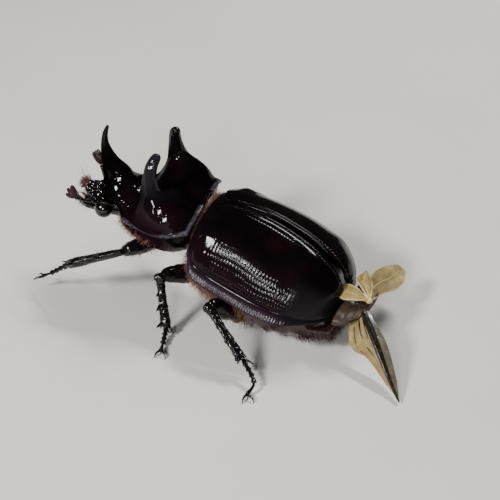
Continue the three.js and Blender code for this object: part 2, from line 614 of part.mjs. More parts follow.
function addHead() {
  const sockets = [-1, 1].map((side) => eyeAt(side, EYE.radius + JOIN_GAP));
  const pit = 0.65; // half-width of the pit a feeler grows from
  const pitAt = ({ root }) => ball(root, point(pit, pit, pit), 5, 4);
  const pits = [pitAt(FEELER.left), pitAt(FEELER.right)];
  addPiece(fore, "head", cut(headForm(), ...sockets, ...pits), COLOUR.head, 0.3);
  addPiece(fore, "mouthparts", cut(mouthparts(), headForm(JOIN_GAP)), COLOUR.club, 0.45);
  [["left", 1], ["right", -1]].forEach(([name, side]) => {
    addPiece(fore, `eye_${name}`, eyeAt(side, EYE.radius), COLOUR.eye, 0.15);
    addPiece(fore, `antenna_${name}`, feeler(FEELER[name]), COLOUR.club, 0.4);
  });
}

function addLegs() {
  LEGS.forEach((leg) => {
    addPiece(animal, `femur_${leg.name}`, femur(leg), COLOUR.leg);
    addPiece(animal, `tibia_${leg.name}`, tibia(leg), COLOUR.leg);
    addPiece(animal, `tarsus_${leg.name}`, tarsus(leg), COLOUR.leg);
  });
}

function addWings() {
  const room = pygidium(JOIN_GAP).applyMatrix4(body.matrixWorld);
  addPiece(animal, "wing_left", cut(leftWing(), room), COLOUR.wing, 0.4);
  addPiece(animal, "wing_right", cut(rightWing(), room), COLOUR.wing, 0.4);
}

addTrunk();
addForebody();
addHead();
addLegs();
addWings();

// The origin is the middle of the animal's footprint, on the floor.
const bounds = new THREE.Box3().setFromObject(animal);
const centre = bounds.getCenter(point(0, 0, 0));
animal.position.set(-centre.x, -centre.y, -bounds.min.z);

export default animal;
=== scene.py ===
"""A life-size male ox beetle, a rhinoceros beetle with three horns, standing with its wing cases parted.

Shapes are worked out in millimetres in the animal's own frames and end in metres in the row frame.
"""
import math
import bmesh
import bpy
import numpy as np
from bpy.props import FloatProperty, FloatVectorProperty, IntProperty, PointerProperty
from mathutils import Matrix, Vector
from mathutils.bvhtree import BVHTree


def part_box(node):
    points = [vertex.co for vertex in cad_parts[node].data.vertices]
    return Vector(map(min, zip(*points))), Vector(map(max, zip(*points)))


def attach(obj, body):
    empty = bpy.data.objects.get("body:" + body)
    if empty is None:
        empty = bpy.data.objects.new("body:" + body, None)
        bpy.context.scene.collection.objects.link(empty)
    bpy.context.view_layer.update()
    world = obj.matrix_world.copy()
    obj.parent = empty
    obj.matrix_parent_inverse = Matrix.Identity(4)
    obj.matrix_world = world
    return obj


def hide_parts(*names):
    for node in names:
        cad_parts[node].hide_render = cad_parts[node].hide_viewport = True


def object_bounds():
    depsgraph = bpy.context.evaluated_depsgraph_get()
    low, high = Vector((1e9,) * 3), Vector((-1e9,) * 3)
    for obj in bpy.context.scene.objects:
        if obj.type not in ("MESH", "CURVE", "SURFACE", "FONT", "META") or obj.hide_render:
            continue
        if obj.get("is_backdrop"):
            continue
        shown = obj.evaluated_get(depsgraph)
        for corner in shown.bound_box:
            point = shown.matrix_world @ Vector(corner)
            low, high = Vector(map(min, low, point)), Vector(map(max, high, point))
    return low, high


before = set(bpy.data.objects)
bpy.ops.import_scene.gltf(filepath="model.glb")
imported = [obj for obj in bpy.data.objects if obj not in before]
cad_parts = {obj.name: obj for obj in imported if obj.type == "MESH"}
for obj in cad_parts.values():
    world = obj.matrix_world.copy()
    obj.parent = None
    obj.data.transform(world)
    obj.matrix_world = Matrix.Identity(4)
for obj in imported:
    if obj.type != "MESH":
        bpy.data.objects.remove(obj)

bl_info = {
    "name": "Rhinoceros beetle",
    "version": (1, 0, 0),
    "blender": (4, 5, 0),
    "location": "View3D > Sidebar > Beetle",
    "description": "Dresses the solid beetle with its horny skin, legs, wings and hair",
    "category": "Add Mesh",
}

CAD_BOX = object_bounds()
PI = math.pi
MM = 0.001
UP = (0, 0, 1)
PATH_STEPS = 40
SEAM_GAP = 2e-4
BLEND_PASSES = 3
BLEND_STEP = 0.4

# ---------------------------------------------------------------- frames

STANCE_HEIGHT = 12.36
HEAD_UP = math.radians(8.73)
NECK_AT = Vector((0, -1.5, 1.0))
NECK_RADIUS = 5.0
NECK_TURN = math.radians(10.84)
NECK_NOD = math.radians(1.95)


def frames():
    """The standing, body and fore frames, in millimetres, set by where the solid neck lies."""
    low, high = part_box("neck")
    neck = (Vector(low) + Vector(high)) / 2 / MM
    tilt = Matrix.Translation((0, 0, STANCE_HEIGHT)) @ Matrix.Rotation(-HEAD_UP, 4, "X")
    standing = Matrix.Translation(neck - tilt @ NECK_AT)
    body = standing @ tilt
    turn = Matrix.Rotation(NECK_TURN, 4, "Z") @ Matrix.Rotation(-NECK_NOD, 4, "X")
    return standing, body, body @ Matrix.Translation(NECK_AT) @ turn


STANDING, BODY, FORE = frames()


def moved(points, matrix):
    """Points through a 4 by 4 matrix."""
    m = np.array(matrix)
    return points @ m[:3, :3].T + m[:3, 3]


# ---------------------------------------------------------------- numbers and curves


def mix(a, b, t):
    return a + (b - a) * t


def ease(x, low, high):
    t = np.clip((x - low) / (high - low), 0, 1)
    return t * t * (3 - 2 * t)


def power(value, exponent):
    return np.sign(value) * np.abs(value) ** exponent


def hill(x, centre, width):
    return np.exp(-(((x - centre) / width) ** 2))


def unit(vectors):
    return vectors / np.maximum(np.linalg.norm(vectors, axis=-1, keepdims=True), 1e-9)


def vec(*values):
    return np.array(values, dtype=float)


def xyz(*columns):
    """Points from three equal columns of numbers."""
    return np.stack(columns, axis=1)


def follow(t, stops):
    """A smooth curve through a few (position, value) stops."""
    xs, ys = np.array(stops, dtype=float).T
    t = np.asarray(t, dtype=float)
    slopes = np.gradient(ys)
    slopes[1:-1] = (ys[2:] - ys[:-2]) / (xs[2:] - xs[:-2])
    slopes[0] = (ys[1] - ys[0]) / (xs[1] - xs[0])
    slopes[-1] = (ys[-1] - ys[-2]) / (xs[-1] - xs[-2])
    i = np.clip(np.searchsorted(xs, t) - 1, 0, len(xs) - 2)
    span = xs[i + 1] - xs[i]
    k = np.clip((t - xs[i]) / span, 0, 1)
    enter = slopes[i] * span
    leave = slopes[i + 1] * span
    rise = ys[i + 1] - ys[i]
    return ys[i] + k * (enter + k * (3 * rise - 2 * enter - leave + k * (enter + leave - 2 * rise)))


class Path:
    """A centripetal curve through a few points, read by its length from 0 to 1."""

    def __init__(self, *points):
        p = np.array(points, dtype=float)
        p = np.vstack([2 * p[0] - p[1], p, 2 * p[-1] - p[-2]])
        samples = []
        for i in range(1, len(p) - 2):
            samples.append(self.span(p[i - 1 : i + 3]))
        line = np.vstack(samples + [p[-2:-1]])
        gaps = np.linalg.norm(np.diff(line, axis=0), axis=1)
        self.line = line
        self.reach = np.concatenate([[0], np.cumsum(gaps)])
        self.length = self.reach[-1]

    @staticmethod
    def span(p):
        gap = [max(np.linalg.norm(p[i + 1] - p[i]) ** 0.5, 1e-4) for i in range(3)]
        enter = (p[1] - p[0]) / gap[0] - (p[2] - p[0]) / (gap[0] + gap[1]) + (p[2] - p[1]) / gap[1]
        leave = (p[2] - p[1]) / gap[1] - (p[3] - p[1]) / (gap[1] + gap[2]) + (p[3] - p[2]) / gap[2]
        enter, leave = enter * gap[1], leave * gap[1]
        t = np.linspace(0, 1, PATH_STEPS, endpoint=False)[:, None]
        c2 = -3 * p[1] + 3 * p[2] - 2 * enter - leave
        c3 = 2 * p[1] - 2 * p[2] + enter + leave
        return p[1] + t * enter + t**2 * c2 + t**3 * c3

    def at(self, t):
        s = np.clip(t, 0, 1) * self.length
        return np.stack([np.interp(s, self.reach, self.line[:, i]) for i in range(3)], axis=-1)

    def along(self, t):
        return unit(self.at(np.minimum(t + 0.01, 1)) - self.at(np.maximum(t - 0.01, 0)))


def sided(side, *points):
    """A path given for the left side, or its mirror image where side is -1."""
    return Path(*(np.array(points) * (side, 1, 1)))


# ---------------------------------------------------------------- making skins


def mesh_from(bm, name="skin"):
    mesh = bpy.data.meshes.new(name)
    bm.to_mesh(mesh)
    bm.free()
    return mesh


def read_points(mesh):
    points = np.empty(len(mesh.vertices) * 3)
    mesh.vertices.foreach_get("co", points)
    return points.reshape(-1, 3)


def read_normals(mesh):
    normals = np.empty(len(mesh.vertices) * 3)
    mesh.vertices.foreach_get("normal", normals)
    return normals.reshape(-1, 3)


def write_points(mesh, points):
    mesh.vertices.foreach_set("co", np.ascontiguousarray(points, dtype=np.float32).ravel())
    mesh.update()


def grid(across, along, place):
    """A sheet of faces; place(u, v) gives its vertices from u and v between 0 and 1."""
    bm = bmesh.new()
    bmesh.ops.create_grid(bm, x_segments=across, y_segments=along, size=0.5)
    mesh = mesh_from(bm)
    flat = read_points(mesh)
    write_points(mesh, place(flat[:, 0] + 0.5, flat[:, 1] + 0.5))
    return mesh


def closed(mesh):
    """Merges a rolled sheet's seam and poles and points its faces outwards."""
    bm = bmesh.new()
    bm.from_mesh(mesh)
    bmesh.ops.remove_doubles(bm, verts=bm.verts, dist=SEAM_GAP)
    bmesh.ops.recalc_face_normals(bm, faces=bm.faces)
    bm.to_mesh(mesh)
    bm.free()
    mesh.update()
    return mesh


def rolled(sides, rings, place):
    """A closed skin rolled from a sheet; place(angle, v) gives points, and its ends draw to a pole."""
    return closed(grid(sides, rings, lambda u, v: place(2 * PI * u, v)))


def cap(v, length=0.06):
    """How far a rounded end has opened at v."""
    start = 1 - (1 - np.clip(v / length, 0, 1)) ** 2
    end = 1 - (1 - np.clip((1 - v) / length, 0, 1)) ** 2
    return np.sqrt(np.maximum(start * end, 0))


def across_axes(along, up):
    normal = up - along * np.sum(along * up, axis=-1, keepdims=True)
    normal = unit(normal)
    return np.cross(along, normal), normal


def tube(path, up, sides, rings, size, ends=0.06):
    """A round-ended tube along a path. size(t, angle) gives half-widths across and along up."""

    def place(angle, v):
        across, normal = across_axes(path.along(v), np.asarray(up, dtype=float))
        wide, tall = size(v, angle)
        open_by = cap(v, ends)
        side = (np.sin(angle) * wide * open_by)[:, None]
        lift = (np.cos(angle) * tall * open_by)[:, None]
        return path.at(v) + across * side + normal * lift

    return rolled(sides, rings, place)


def even(wide, tall):
    """Half-widths for a tube that stay the same along it."""
    return lambda t, angle: (wide + 0 * t, tall + 0 * t)


def slender(girth, loss):
    """Half-widths for a round tube that loses a share of its girth along it."""
    return lambda t, angle: (girth * (1 - loss * t),) * 2


def by_stops(wide, tall):
    """Half-widths for a tube that follow two rows of stops."""
    return lambda t, angle: (follow(t, wide), follow(t, tall))


def ball(centre, radii, sides=32, rings=24):
    """An ellipsoid with its poles along Y."""

    def place(angle, v):
        turn = PI * v
        ring = np.sin(turn)
        p = xyz(ring * np.sin(angle), -np.cos(turn), ring * np.cos(angle))
        return p * np.asarray(radii) + np.asarray(centre)

    return rolled(sides, rings, place)


def joined(meshes):
    bm = bmesh.new()
    for mesh in meshes:
        bm.from_mesh(mesh)
        bpy.data.meshes.remove(mesh)
    return mesh_from(bm)


def mirrored(mesh):
    copy = mesh.copy()
    write_points(copy, read_points(copy) * (-1, 1, 1))
    copy.flip_normals()
    return copy


class Surface:
    """A dense skin that gives the nearest signed distance and outward direction."""

    def __init__(self, mesh):
        bm = bmesh.new()
        bm.from_mesh(mesh)
        self.tree = BVHTree.FromBMesh(bm)
        bm.free()
        points = read_points(mesh)
        self.low, self.high = points.min(0), points.max(0)

    def near(self, points, reach):
        distance = np.full(len(points), 1e3)
        outward = np.zeros((len(points), 3))
        inside = np.all((points > self.low - reach) & (points < self.high + reach), axis=1)
        for i in np.nonzero(inside)[0]:
            place, normal, _, _ = self.tree.find_nearest(points[i])
            away = Vector(points[i]) - place
            side = away.dot(normal)
            size = away.length
            if size < 1e-5:
                distance[i], outward[i] = side, normal
            else:
                distance[i] = math.copysign(size, side)
                outward[i] = away / math.copysign(size, side)
        return distance, outward


def blended(first, others, voxel):
    """One skin over several closed ones. others holds (mesh, how widely it flows into the rest)."""
    bm = bmesh.new()
    for mesh in [first] + [mesh for mesh, _ in others]:
        bm.from_mesh(mesh)
    whole = bpy.data.objects.new("union", mesh_from(bm))
    bpy.context.scene.collection.objects.link(whole)
    remesh = whole.modifiers.new("one skin", "REMESH")
    remesh.mode = "VOXEL"
    remesh.voxel_size = voxel
    view = bpy.context.evaluated_depsgraph_get()
    mesh = bpy.data.meshes.new_from_object(whole.evaluated_get(view))
    bpy.data.objects.remove(whole)
    base = Surface(first)
    rest = [(Surface(other), flow) for other, flow in others]
    points = read_points(mesh)
    for _ in range(BLEND_PASSES):
        distance, outward = base.near(points, 3)
        for surface, flow in rest:
            other, other_out = surface.near(points, flow + 0.5)
            h = np.maximum(flow - np.abs(distance - other), 0) / flow
            share = np.where(distance < other, h / 2, 1 - h / 2)[:, None]
            distance = np.minimum(distance, other) - h * h * flow / 4
            outward = outward * (1 - share) + other_out * share
        slope = np.maximum(np.sum(outward * outward, axis=1), 0.2)
        points = points - outward * (np.clip(distance, -BLEND_STEP, BLEND_STEP) / slope)[:, None]
    write_points(mesh, points)
    for spent in [first] + [other for other, _ in others]:
        bpy.data.meshes.remove(spent)
    return mesh


def relaxed(mesh, times):
    """Evens out a skin a little, as rubbing would."""
    bm = bmesh.new()
    bm.from_mesh(mesh)
    for _ in range(times):
        bmesh.ops.smooth_vert(bm, verts=bm.verts, factor=0.5, use_axis_x=True, use_axis_y=True, use_axis_z=True)
    bm.to_mesh(mesh)
    bm.free()
    mesh.update()
    return mesh


def carved(mesh, depth):
    """Moves each vertex along its normal by depth(points, normals)."""
    points, normals = read_points(mesh), read_normals(mesh)
    write_points(mesh, points + normals * depth(points, normals)[:, None])
    return mesh


def faceted(points, facing, rounds, share=0.92, fall=2):
    """Flattens small rounds of a skin, each a centre and a reach, until they face one way."""
    for centre, reach in rounds:
        away = points - vec(*centre)
        flat = share * np.exp(-((np.linalg.norm(away, axis=1) / reach) ** fall))
        points = points - (flat * (away @ facing))[:, None] * facing
    return points


def lumps(points, scale, seed=0.0):
    """Cheap smooth noise between -1 and 1 with features about scale millimetres across."""
    x, y, z = (points / scale).T
    s = seed * 1.7
    a = np.sin(2.1 * x + 1.3 * y + s) * np.sin(1.7 * y - 2.3 * z + 2 * s) * np.sin(1.9 * z + 0.8 * x - s)
    b = np.sin(4.3 * x - 3.1 * z + 3 * s) * np.sin(3.7 * y + 2.9 * x + s) * np.sin(4.1 * z - 3.3 * y)
    c = np.sin(7.9 * x + 6.1 * y) * np.sin(8.3 * y - 7.1 * z + s) * np.sin(7.3 * z + 5.9 * x)
    return (a + 0.6 * b + 0.35 * c) * 1.2


def marked(mesh, marks):
    """Stores each mark's values at the vertices, for the materials to read."""
    for key, values in marks.items():
        mark = mesh.attributes.new(key, "FLOAT", "POINT")
        mark.data.foreach_set("value", np.asarray(values, dtype=np.float32))


def piece(name, mesh, matrix, material, slot, nodes=(), crease=50, marks=None):
    """Puts a finished skin in the scene in metres, at the origin, riding on the one body."""
    points = moved(read_points(mesh), matrix) * MM
    marked(mesh, marks or {})
    write_points(mesh, points)
    mesh.name = name
    mesh.shade_smooth()
    mesh.set_sharp_from_angle(angle=math.radians(crease))
    obj = bpy.data.objects.new(name, mesh)
    bpy.context.scene.collection.objects.link(obj)
    mesh.materials.append(material)
    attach(obj, "root")
    if nodes:
        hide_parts(*nodes)
    return obj


# ---------------------------------------------------------------- wing cases


CASE_FLATS_FACING = (0.775, -0.039, 0.63)
CASE_FLATS = (((6.5, 2.5, 6.5), 1.3), ((8.2, 2.7, 5.1), 1.1), ((9.9, 3.6, 3.2), 0.7))
CASE_SHEET = (118, 380)
TRIANGLE_THICKNESS = 0.0007


class WingCase:
    """The left wing case's outer face. q runs from 0 at the base to 1 at the tip."""

    length = 26
    half_width = 11.7
    seam = 0.16
    hinge = 2.5
    opening = math.radians(1.3)
    stria = 0.8
    row_gap = 1.0
    pit_gap = 0.56

    @classmethod
    def width(cls, q):
        shoulder = 1 - 0.2 * np.maximum(1 - q / 0.12, 0) ** 2
        side = 0.92 + 0.08 * ease(q, 0, 0.62)
        rear = (1 - np.maximum((q - 0.5) / 0.5, 0) ** 2.6) ** (1 / 2.6)
        return cls.half_width * shoulder * side * rear

    @staticmethod
    def edge(q):
        return -1.3 + 2 * np.maximum(1 - q / 0.28, 0) ** 2 - 1.5 * np.maximum((q - 0.7) / 0.3, 0) ** 2

    @staticmethod
    def crown(q):
        base, top, apex, peak = 7.3, 8.3, 1.6, 0.3
        rise = top - (top - base) * (1 - q / peak) ** 2
        fall = 1 - np.clip((q - peak) / (1 - peak), 0, 1) ** 1.8
        return np.where(q < peak, rise, apex + (top - apex) * np.maximum(fall, 0) ** 0.6)

    @classmethod
    def face(cls, u, v):
        q = np.sin(PI / 2 * 0.985 * v)
        s, c = np.sin(PI / 2 * u), np.maximum(np.cos(PI / 2 * u), 0)
        x = cls.width(q) * s**0.87 + cls.seam
        y = mix(2.5 * np.maximum(1 - s / 0.28, 0), cls.length, q) - 0.9 * q**10 * (1 - s) ** 3
        z = cls.edge(q) + (cls.crown(q) - cls.edge(q)) * c**1.35
        return xyz(x, y, z)

    @classmethod
    def relief(cls, p, u, v):
        """Bumps and furrows over the face, in millimetres."""
        x, y = p[:, 0] - cls.seam, p[:, 1]
        arc = 15 * u
        shoulder = 0.26 * hill(x, 7.0, 1.4) * hill(y, 4.0, 1.5) + 0.3 * hill(x, 9.7, 1.3) * hill(y, 3.5, 1.7)
        rear_knob = 0.25 * hill(x, 7.4, 1.6) * hill(y, 20.6, 1.6)
        dots = 0.6 + 0.4 * np.cos(2 * PI * y / cls.pit_gap)
        furrow = -0.2 * hill(x, cls.stria, 0.16) * ease(y, 2.2, 4) * (1 - ease(v, 0.9, 0.97)) * dots
        second = -0.06 * hill(x, 2.0, 0.13) * ease(y, 1.5, 3) * (1 - ease(y, 12, 20)) * dots
        row = arc / cls.row_gap + 0.12 * np.sin(0.8 * y)
        pillow = np.maximum(1 - (2 * (row % 1.0) - 1) ** 2, 0) ** 0.7
        phase = y / cls.pit_gap + 0.41 * np.floor(row) + 0.3 * np.sin(1.7 * np.floor(row) + 0.7 * y)
        side = ease(u, 0.41, 0.52) * (1 - ease(u, 0.86, 0.89)) * ease(y, 3.6, 6) * (1 - ease(y, 16.5, 22))
        bars = np.cos(2 * PI * phase) * (0.7 + 0.3 * lumps(p, 1.1, 2))
        rough = side * pillow * (0.045 + 0.055 * bars) * (0.8 + 0.7 * ease(u, 0.6, 0.8))
        groove = -0.2 * hill(u, 0.89, 0.02)
        roll = np.sqrt(np.maximum(1 - ((u - 0.957) / 0.045) ** 2, 0))
        hatch = 0.045 * np.cos(2 * PI * (y / 0.47 + 0.16 * lumps(p, 0.9, 6))) * roll * (1 - ease(y, 18, 23))
        swell = 0.014 * lumps(p, 6, 4)
        return shoulder + rear_knob + furrow + second + rough + groove + 0.13 * roll + hatch + swell

    @classmethod
    def shape(cls, w, v):
        """The finished outer face from an even sheet, with its base and seam edges turned down."""
        u = w**1.25
        base = 0.035
        lip = np.clip(1 - v / base, 0, 1)
        along = np.maximum((v - base) / (1 - base), 0)
        p = cls.face(u, along)
        step = 0.004
        du = cls.face(np.minimum(u + step, 1), along) - cls.face(np.maximum(u - step, 0), along)
        dv = cls.face(u, np.minimum(along + step, 1)) - cls.face(u, np.maximum(along - step, 0))
        normal = unit(np.cross(du, dv))
        p = p + normal * (cls.relief(p, u, along) * (1 - lip))[:, None]
        p = faceted(p, vec(*CASE_FLATS_FACING), CASE_FLATS)
        p[:, 2] -= 0.22 * np.exp(-(p[:, 0] - cls.seam) / 0.12) + 1.3 * lip**1.6
        p[:, 1] -= 0.25 * np.sin(PI * np.minimum(lip, 0.5))
        p[:, 0] = np.where(p[:, 0] < cls.seam + 0.9, p[:, 0], p[:, 0] * (1 - 0.02 * lip))
        gutter = np.clip((u - 0.895) / 0.1, 0, 1) * (1 - lip)
        gutter = gutter * ease(p[:, 1], -0.5, 3) * (1 - ease(p[:, 1], 19, 25))
        p += gutter[:, None] * vec(1.05, 0, -0.7)
        return p, u


def wing_case_skin():
    marks = {}

    def place(w, v):
        p, u = WingCase.shape(w, v)
        marks["dull"] = ease(p[:, 1], 17.5, 22.5) * ease(u, 0.3, 0.55)
        marks["rim"] = ease(u, 0.83, 0.87)
        marks["flank"] = ease(u, 0.3, 0.6) * (1 - marks["dull"])
        # edge: where a painted highlight goes, a paler lilac-grey tint along the outer rim of each wing case
        marks["edge"] = ease(u, 0.895, 0.925) * (1 - marks["dull"])
        marks["cells"] = ease(u, 0.42, 0.5) * ease(p[:, 1], 3.5, 6) * (1 - ease(p[:, 1], 16, 20))
        return p

    return grid(*CASE_SHEET, place), marks


def swung(points):
    """The small swing of a left wing case about its base."""
    turn = Matrix.Rotation(-WingCase.opening, 4, "Z")
    about = Matrix.Translation((0, WingCase.hinge, 0))
    return moved(points, about @ turn @ about.inverted())


def scutellum_skin():
    def place(u, v):
        y = mix(-0.75, 2.35, v)
        wide = (0.22 + 1.06 * (2.35 - y)) * (1 - 0.1 * np.sin(PI * v))
        side = 2 * u - 1
        rim = -0.12 * hill(np.abs(side), 0.82, 0.07) - 0.5 * ease(np.abs(side), 0.9, 1.0)
        z = 7.0 + 0.16 * y - 0.5 * side**2 * (1 - v) + rim - 0.6 * ease(v, 0.95, 1)
        z = z - 0.7 * ease(-v, -0.09, 0)
        p = xyz(side * wide, y, z)
        p[:, 2] += 0.02 * lumps(p, 0.35, 3)
        return p

    return grid(60, 60, place)


# ---------------------------------------------------------------- pronotum and horns

CROWN_FRONT = -18.9
CROWN_REAR = -0.9
SHIELD_VOXEL = 0.19
SHIELD_FLATS_FACING = (0.754, -0.205, 0.624)
SHIELD_FLATS = (((8.65, -6.6, 5.55), 0.72), ((9.05, -5.3, 4.65), 0.8), ((2.0, -16.4, 4.0), 0.65),
    ((6.1, -9.95, 11.9), 0.5), ((4.15, -15.4, 1.4), 0.45))
HORN_SIDES, HORN_RINGS = 40, 110


def pronotum_crown(y):
    apron = 1.0 + 1.6 * ease(y, -18.9, -15)
    saddle = 2.0 * ease(y, -12.2, -9)
    dome = 1.4 * ease(y, -9.5, -5) - 1.1 * ease(y, -5, -0.9)
    return apron + saddle + dome


def pronotum_rim(t):
    """The side rim of the shield from its front corner to its rear corner, left side."""
    x = follow(t, [[0, 4.9], [0.15, 6.6], [0.4, 8.5], [0.66, 9.4], [0.85, 9.2], [1, 8.3]])
    z = follow(t, [[0, -1.7], [0.15, -0.7], [0.38, 0.5], [0.7, 1.6], [1, 2.9]])
    return x, mix(-14.2, -1.3, t), z


def prothorax_skin(sides=220, rings=190):
    """The closed fore body: the shield above, the breast below, and rounded walls front and rear."""
    wall = 0.1

    def place(angle, v):
        angle = np.where(angle > PI, angle - 2 * PI, angle)
        t = np.clip((v - wall) / (1 - 2 * wall), 0, 1)
        open_by = np.minimum(np.minimum(v / wall, (1 - v) / wall), 1)
        turn = angle / PI
        upper = np.abs(turn) <= 2 / 3
        fan = np.where(upper, turn * 1.5 * PI / 2, np.sign(turn) * (1 - np.abs(turn)) * 1.5 * PI)
        s, c = np.sin(fan), np.maximum(np.cos(fan), 0)
        rim_x, rim_y, rim_z = pronotum_rim(t)
        y_top = mix(mix(CROWN_FRONT, CROWN_REAR, t), rim_y, np.abs(s) ** 1.7)
        arch = np.maximum(1 - s * s, 0) ** 0.6
        flank = 1.6 * ease(y_top, -12.6, -10) * (1 - ease(y_top, -5, -2)) * s * s * arch
        z_top = rim_z + (pronotum_crown(y_top) - rim_z) * arch + flank
        keel = follow(t, [[0, -5.0], [0.4, -6.5], [0.8, -6.4], [1, -5.2]])
        y_low = mix(mix(-13.6, -1.8, t), rim_y, np.abs(s) ** 1.7)
        z_low = rim_z + (keel - rim_z) * c**0.9
        x = np.where(upper, rim_x * s, rim_x * power(s, 1.25))
        y = np.where(upper, y_top, y_low)
        z = np.where(upper, z_top, z_low)
        centre = xyz(0 * t, mix(-14.6, -1.4, t), 0 * t - 1.5)
        rim = xyz(x, y, z)
        return centre + (rim - centre) * open_by[:, None]

    return rolled(sides, rings, place)


def front_horn():
    path = Path((0, -16.2, 0.2), (0, -17.4, 3.2), (0, -19.0, 5.4), (0, -20.35, 8.2), (0, -20.7, 10.6),
        (0, -20.4, 12.6))
    wide = [[0, 4.4], [0.25, 2.4], [0.45, 1.5], [0.7, 0.85], [0.9, 0.48], [1, 0.26]]
    deep = [[0, 3.7], [0.25, 2.6], [0.45, 1.55], [0.7, 0.7], [0.9, 0.42], [1, 0.26]]
    return tube(path, (0, 1, 0), HORN_SIDES, HORN_RINGS, by_stops(wide, deep), 0.03)


def rear_horn():
    path = Path((6.6, -7.6, 1.6), (6.7, -8.5, 4.8), (6.5, -9.25, 7.2), (6.05, -9.85, 9.6),
        (5.3, -10.0, 11.7), (4.1, -9.6, 13.5))
    wide = [[0, 2.6], [0.25, 2.1], [0.45, 1.5], [0.65, 1.1], [0.83, 0.9], [0.95, 0.72], [1, 0.42]]
    deep = [[0, 4.0], [0.25, 2.5], [0.45, 1.65], [0.65, 1.15], [0.83, 0.95], [0.95, 0.75], [1, 0.42]]

    def size(t, angle):
        ridge = 1 + 0.16 * np.maximum(-np.cos(angle), 0) ** 6 * ease(t, 0.25, 0.5)
        return follow(t, wide), follow(t, deep) * ridge

    return tube(path, (0, 1, 0), HORN_SIDES, HORN_RINGS, size, 0.03)


def bead_course(along_side, along_rear):
    """Points on the raised bead of the shield, down its left side and then across its rear."""
    x, y, z = pronotum_rim(np.linspace(0.05, 1, along_side))
    side = xyz(x + 0.08, y, z)
    s = np.sin(np.linspace(PI / 2 * 0.9, -PI / 2 * 0.9, along_rear))
    arch = np.maximum(1 - s * s, 0) ** 0.6
    rear_y = mix(CROWN_REAR, -1.3, np.abs(s) ** 1.7)
    return side, xyz(8.3 * s, rear_y, 2.6 + (pronotum_crown(rear_y) - 2.6) * arch)


def rim_bead():
    """The raised bead round the side and rear of the shield."""
    side, rear = bead_course(14, 12)
    other = side[::-1] * (-1, 1, 1)
    path = Path(*side, *rear[1:-1], *other)
    return tube(path, (0, 0.3, 1), 16, 420, even(0.38, 0.36), 0.01)


def pronotum_skin():
    left = rear_horn()
    cheek = ball((4.65, -6.2, 2.75), (5.0, 4.5, 4.35), 60, 48)
    others = [(front_horn(), 1.6), (mirrored(cheek), 1.4), (cheek, 1.4), (mirrored(left), 1.8), (left, 1.8),
        (rim_bead(), 0.35)]
    mesh = relaxed(blended(prothorax_skin(), others, SHIELD_VOXEL), 2)

    def depth(p, n):
        x, y, z = p.T
        side = np.abs(x)
        shoulder = ease(-y, 10.8, 12.6) * (1 - ease(-y, 16.5, 18.5)) * ease(side, 3.2, 5.0)
        rugose = 0.1 * lumps(p, 0.6, 1) * (shoulder * ease(n[:, 2], -0.2, 0.2))
        hollow = hill(side, 0, 3.6) * hill(y, -12.4, 2.2) * ease(n[:, 2], 0.1, 0.5)
        wrinkled = 0.03 * lumps(p, 0.55, 5) * hollow
        horn = ease(z, 4.0, 8.0)
        corner = 0.09 * lumps(p, 0.5, 2) * ease(-y, 11.5, 13) * ease(side, 2.5, 4.5) * (1 - ease(z, 0.5, 2.5))
        return rugose + wrinkled + corner + 0.012 * lumps(p, 1.6, 7) * (0.4 + 0.3 * horn)

    mesh = carved(mesh, depth)
    p = read_points(mesh)
    turn = np.where(p[:, :1] < 0, -1, 1) * vec(1, 0, 0) + vec(0, 1, 1)
    write_points(mesh, turn * faceted(turn * p, vec(*SHIELD_FLATS_FACING), SHIELD_FLATS, share=0.985, fall=4))
    p, n = read_points(mesh), read_normals(mesh)
    x, y, z = p.T
    side = np.abs(x)
    # flank: where the purple-brown tint goes on the shield's lower sides, partly the shield's own tone and
    # partly a painted sheen
    flank = hill(side, 7.6, 2.6) * hill(y, -7.0, 4.0) * (1 - ease(z, 3.5, 7))
    # sheen: a painted sheen, a greyer tint towards the horn tips, strongest on the left rear horn
    sheen = ease(z, 6.0, 10.0) * (0.25 + 0.75 * ease(x, 2, 4))
    below = (1 - ease(n[:, 2], -0.75, -0.35)) * (1 - ease(z, -2.5, -0.5))
    front = ease(-n[:, 1], 0.3, 0.7) * (1 - ease(z, 2.5, 5))
    crown = ease(n[:, 2], 0.6, 0.85) * ease(y, -11.5, -9.5) * (1 - ease(z, 8, 10))
    shade = (1 - ease(n[:, 2], 0.0, 0.45)) * (1 - ease(z, 7.5, 10)) * (1 - ease(y, -5.5, -3.5))
    horn_front = ease(-n[:, 1], 0.1, 0.5) * (1 - ease(y, -15, -13.5))
    horn_flank = ease(z, 4.5, 5.0) * (1 - ease(z, 8, 10)) * (1 - ease(y, -15, -13.5))
    # bead: a painted glint along the shield's rim bead, a paler tint broken into flecks by noise; the matt mask
    # keeps the gloss there
    outer = xyz(side, y, z)
    course = np.concatenate(bead_course(60, 90))[:95]
    away = np.min([np.linalg.norm(outer - spot, axis=1) for spot in course], axis=0)
    bead = (1 - ease(away, 0.3, 0.6)) * (0.35 + 0.65 * ease(lumps(p, 0.45, 8), -0.2, 0.4))
    matt = np.maximum.reduce([crown, shade, front, horn_front, horn_flank]) * (1 - bead)
    return mesh, {"flank": flank, "sheen": sheen, "below": below, "matt": matt, "bead": bead}


# ---------------------------------------------------------------- head


HEAD_VOXEL = 0.13
EYE_AT, EYE_RADII = (4.05, -17.7, -1.75), (1.55, 1.6, 1.6)


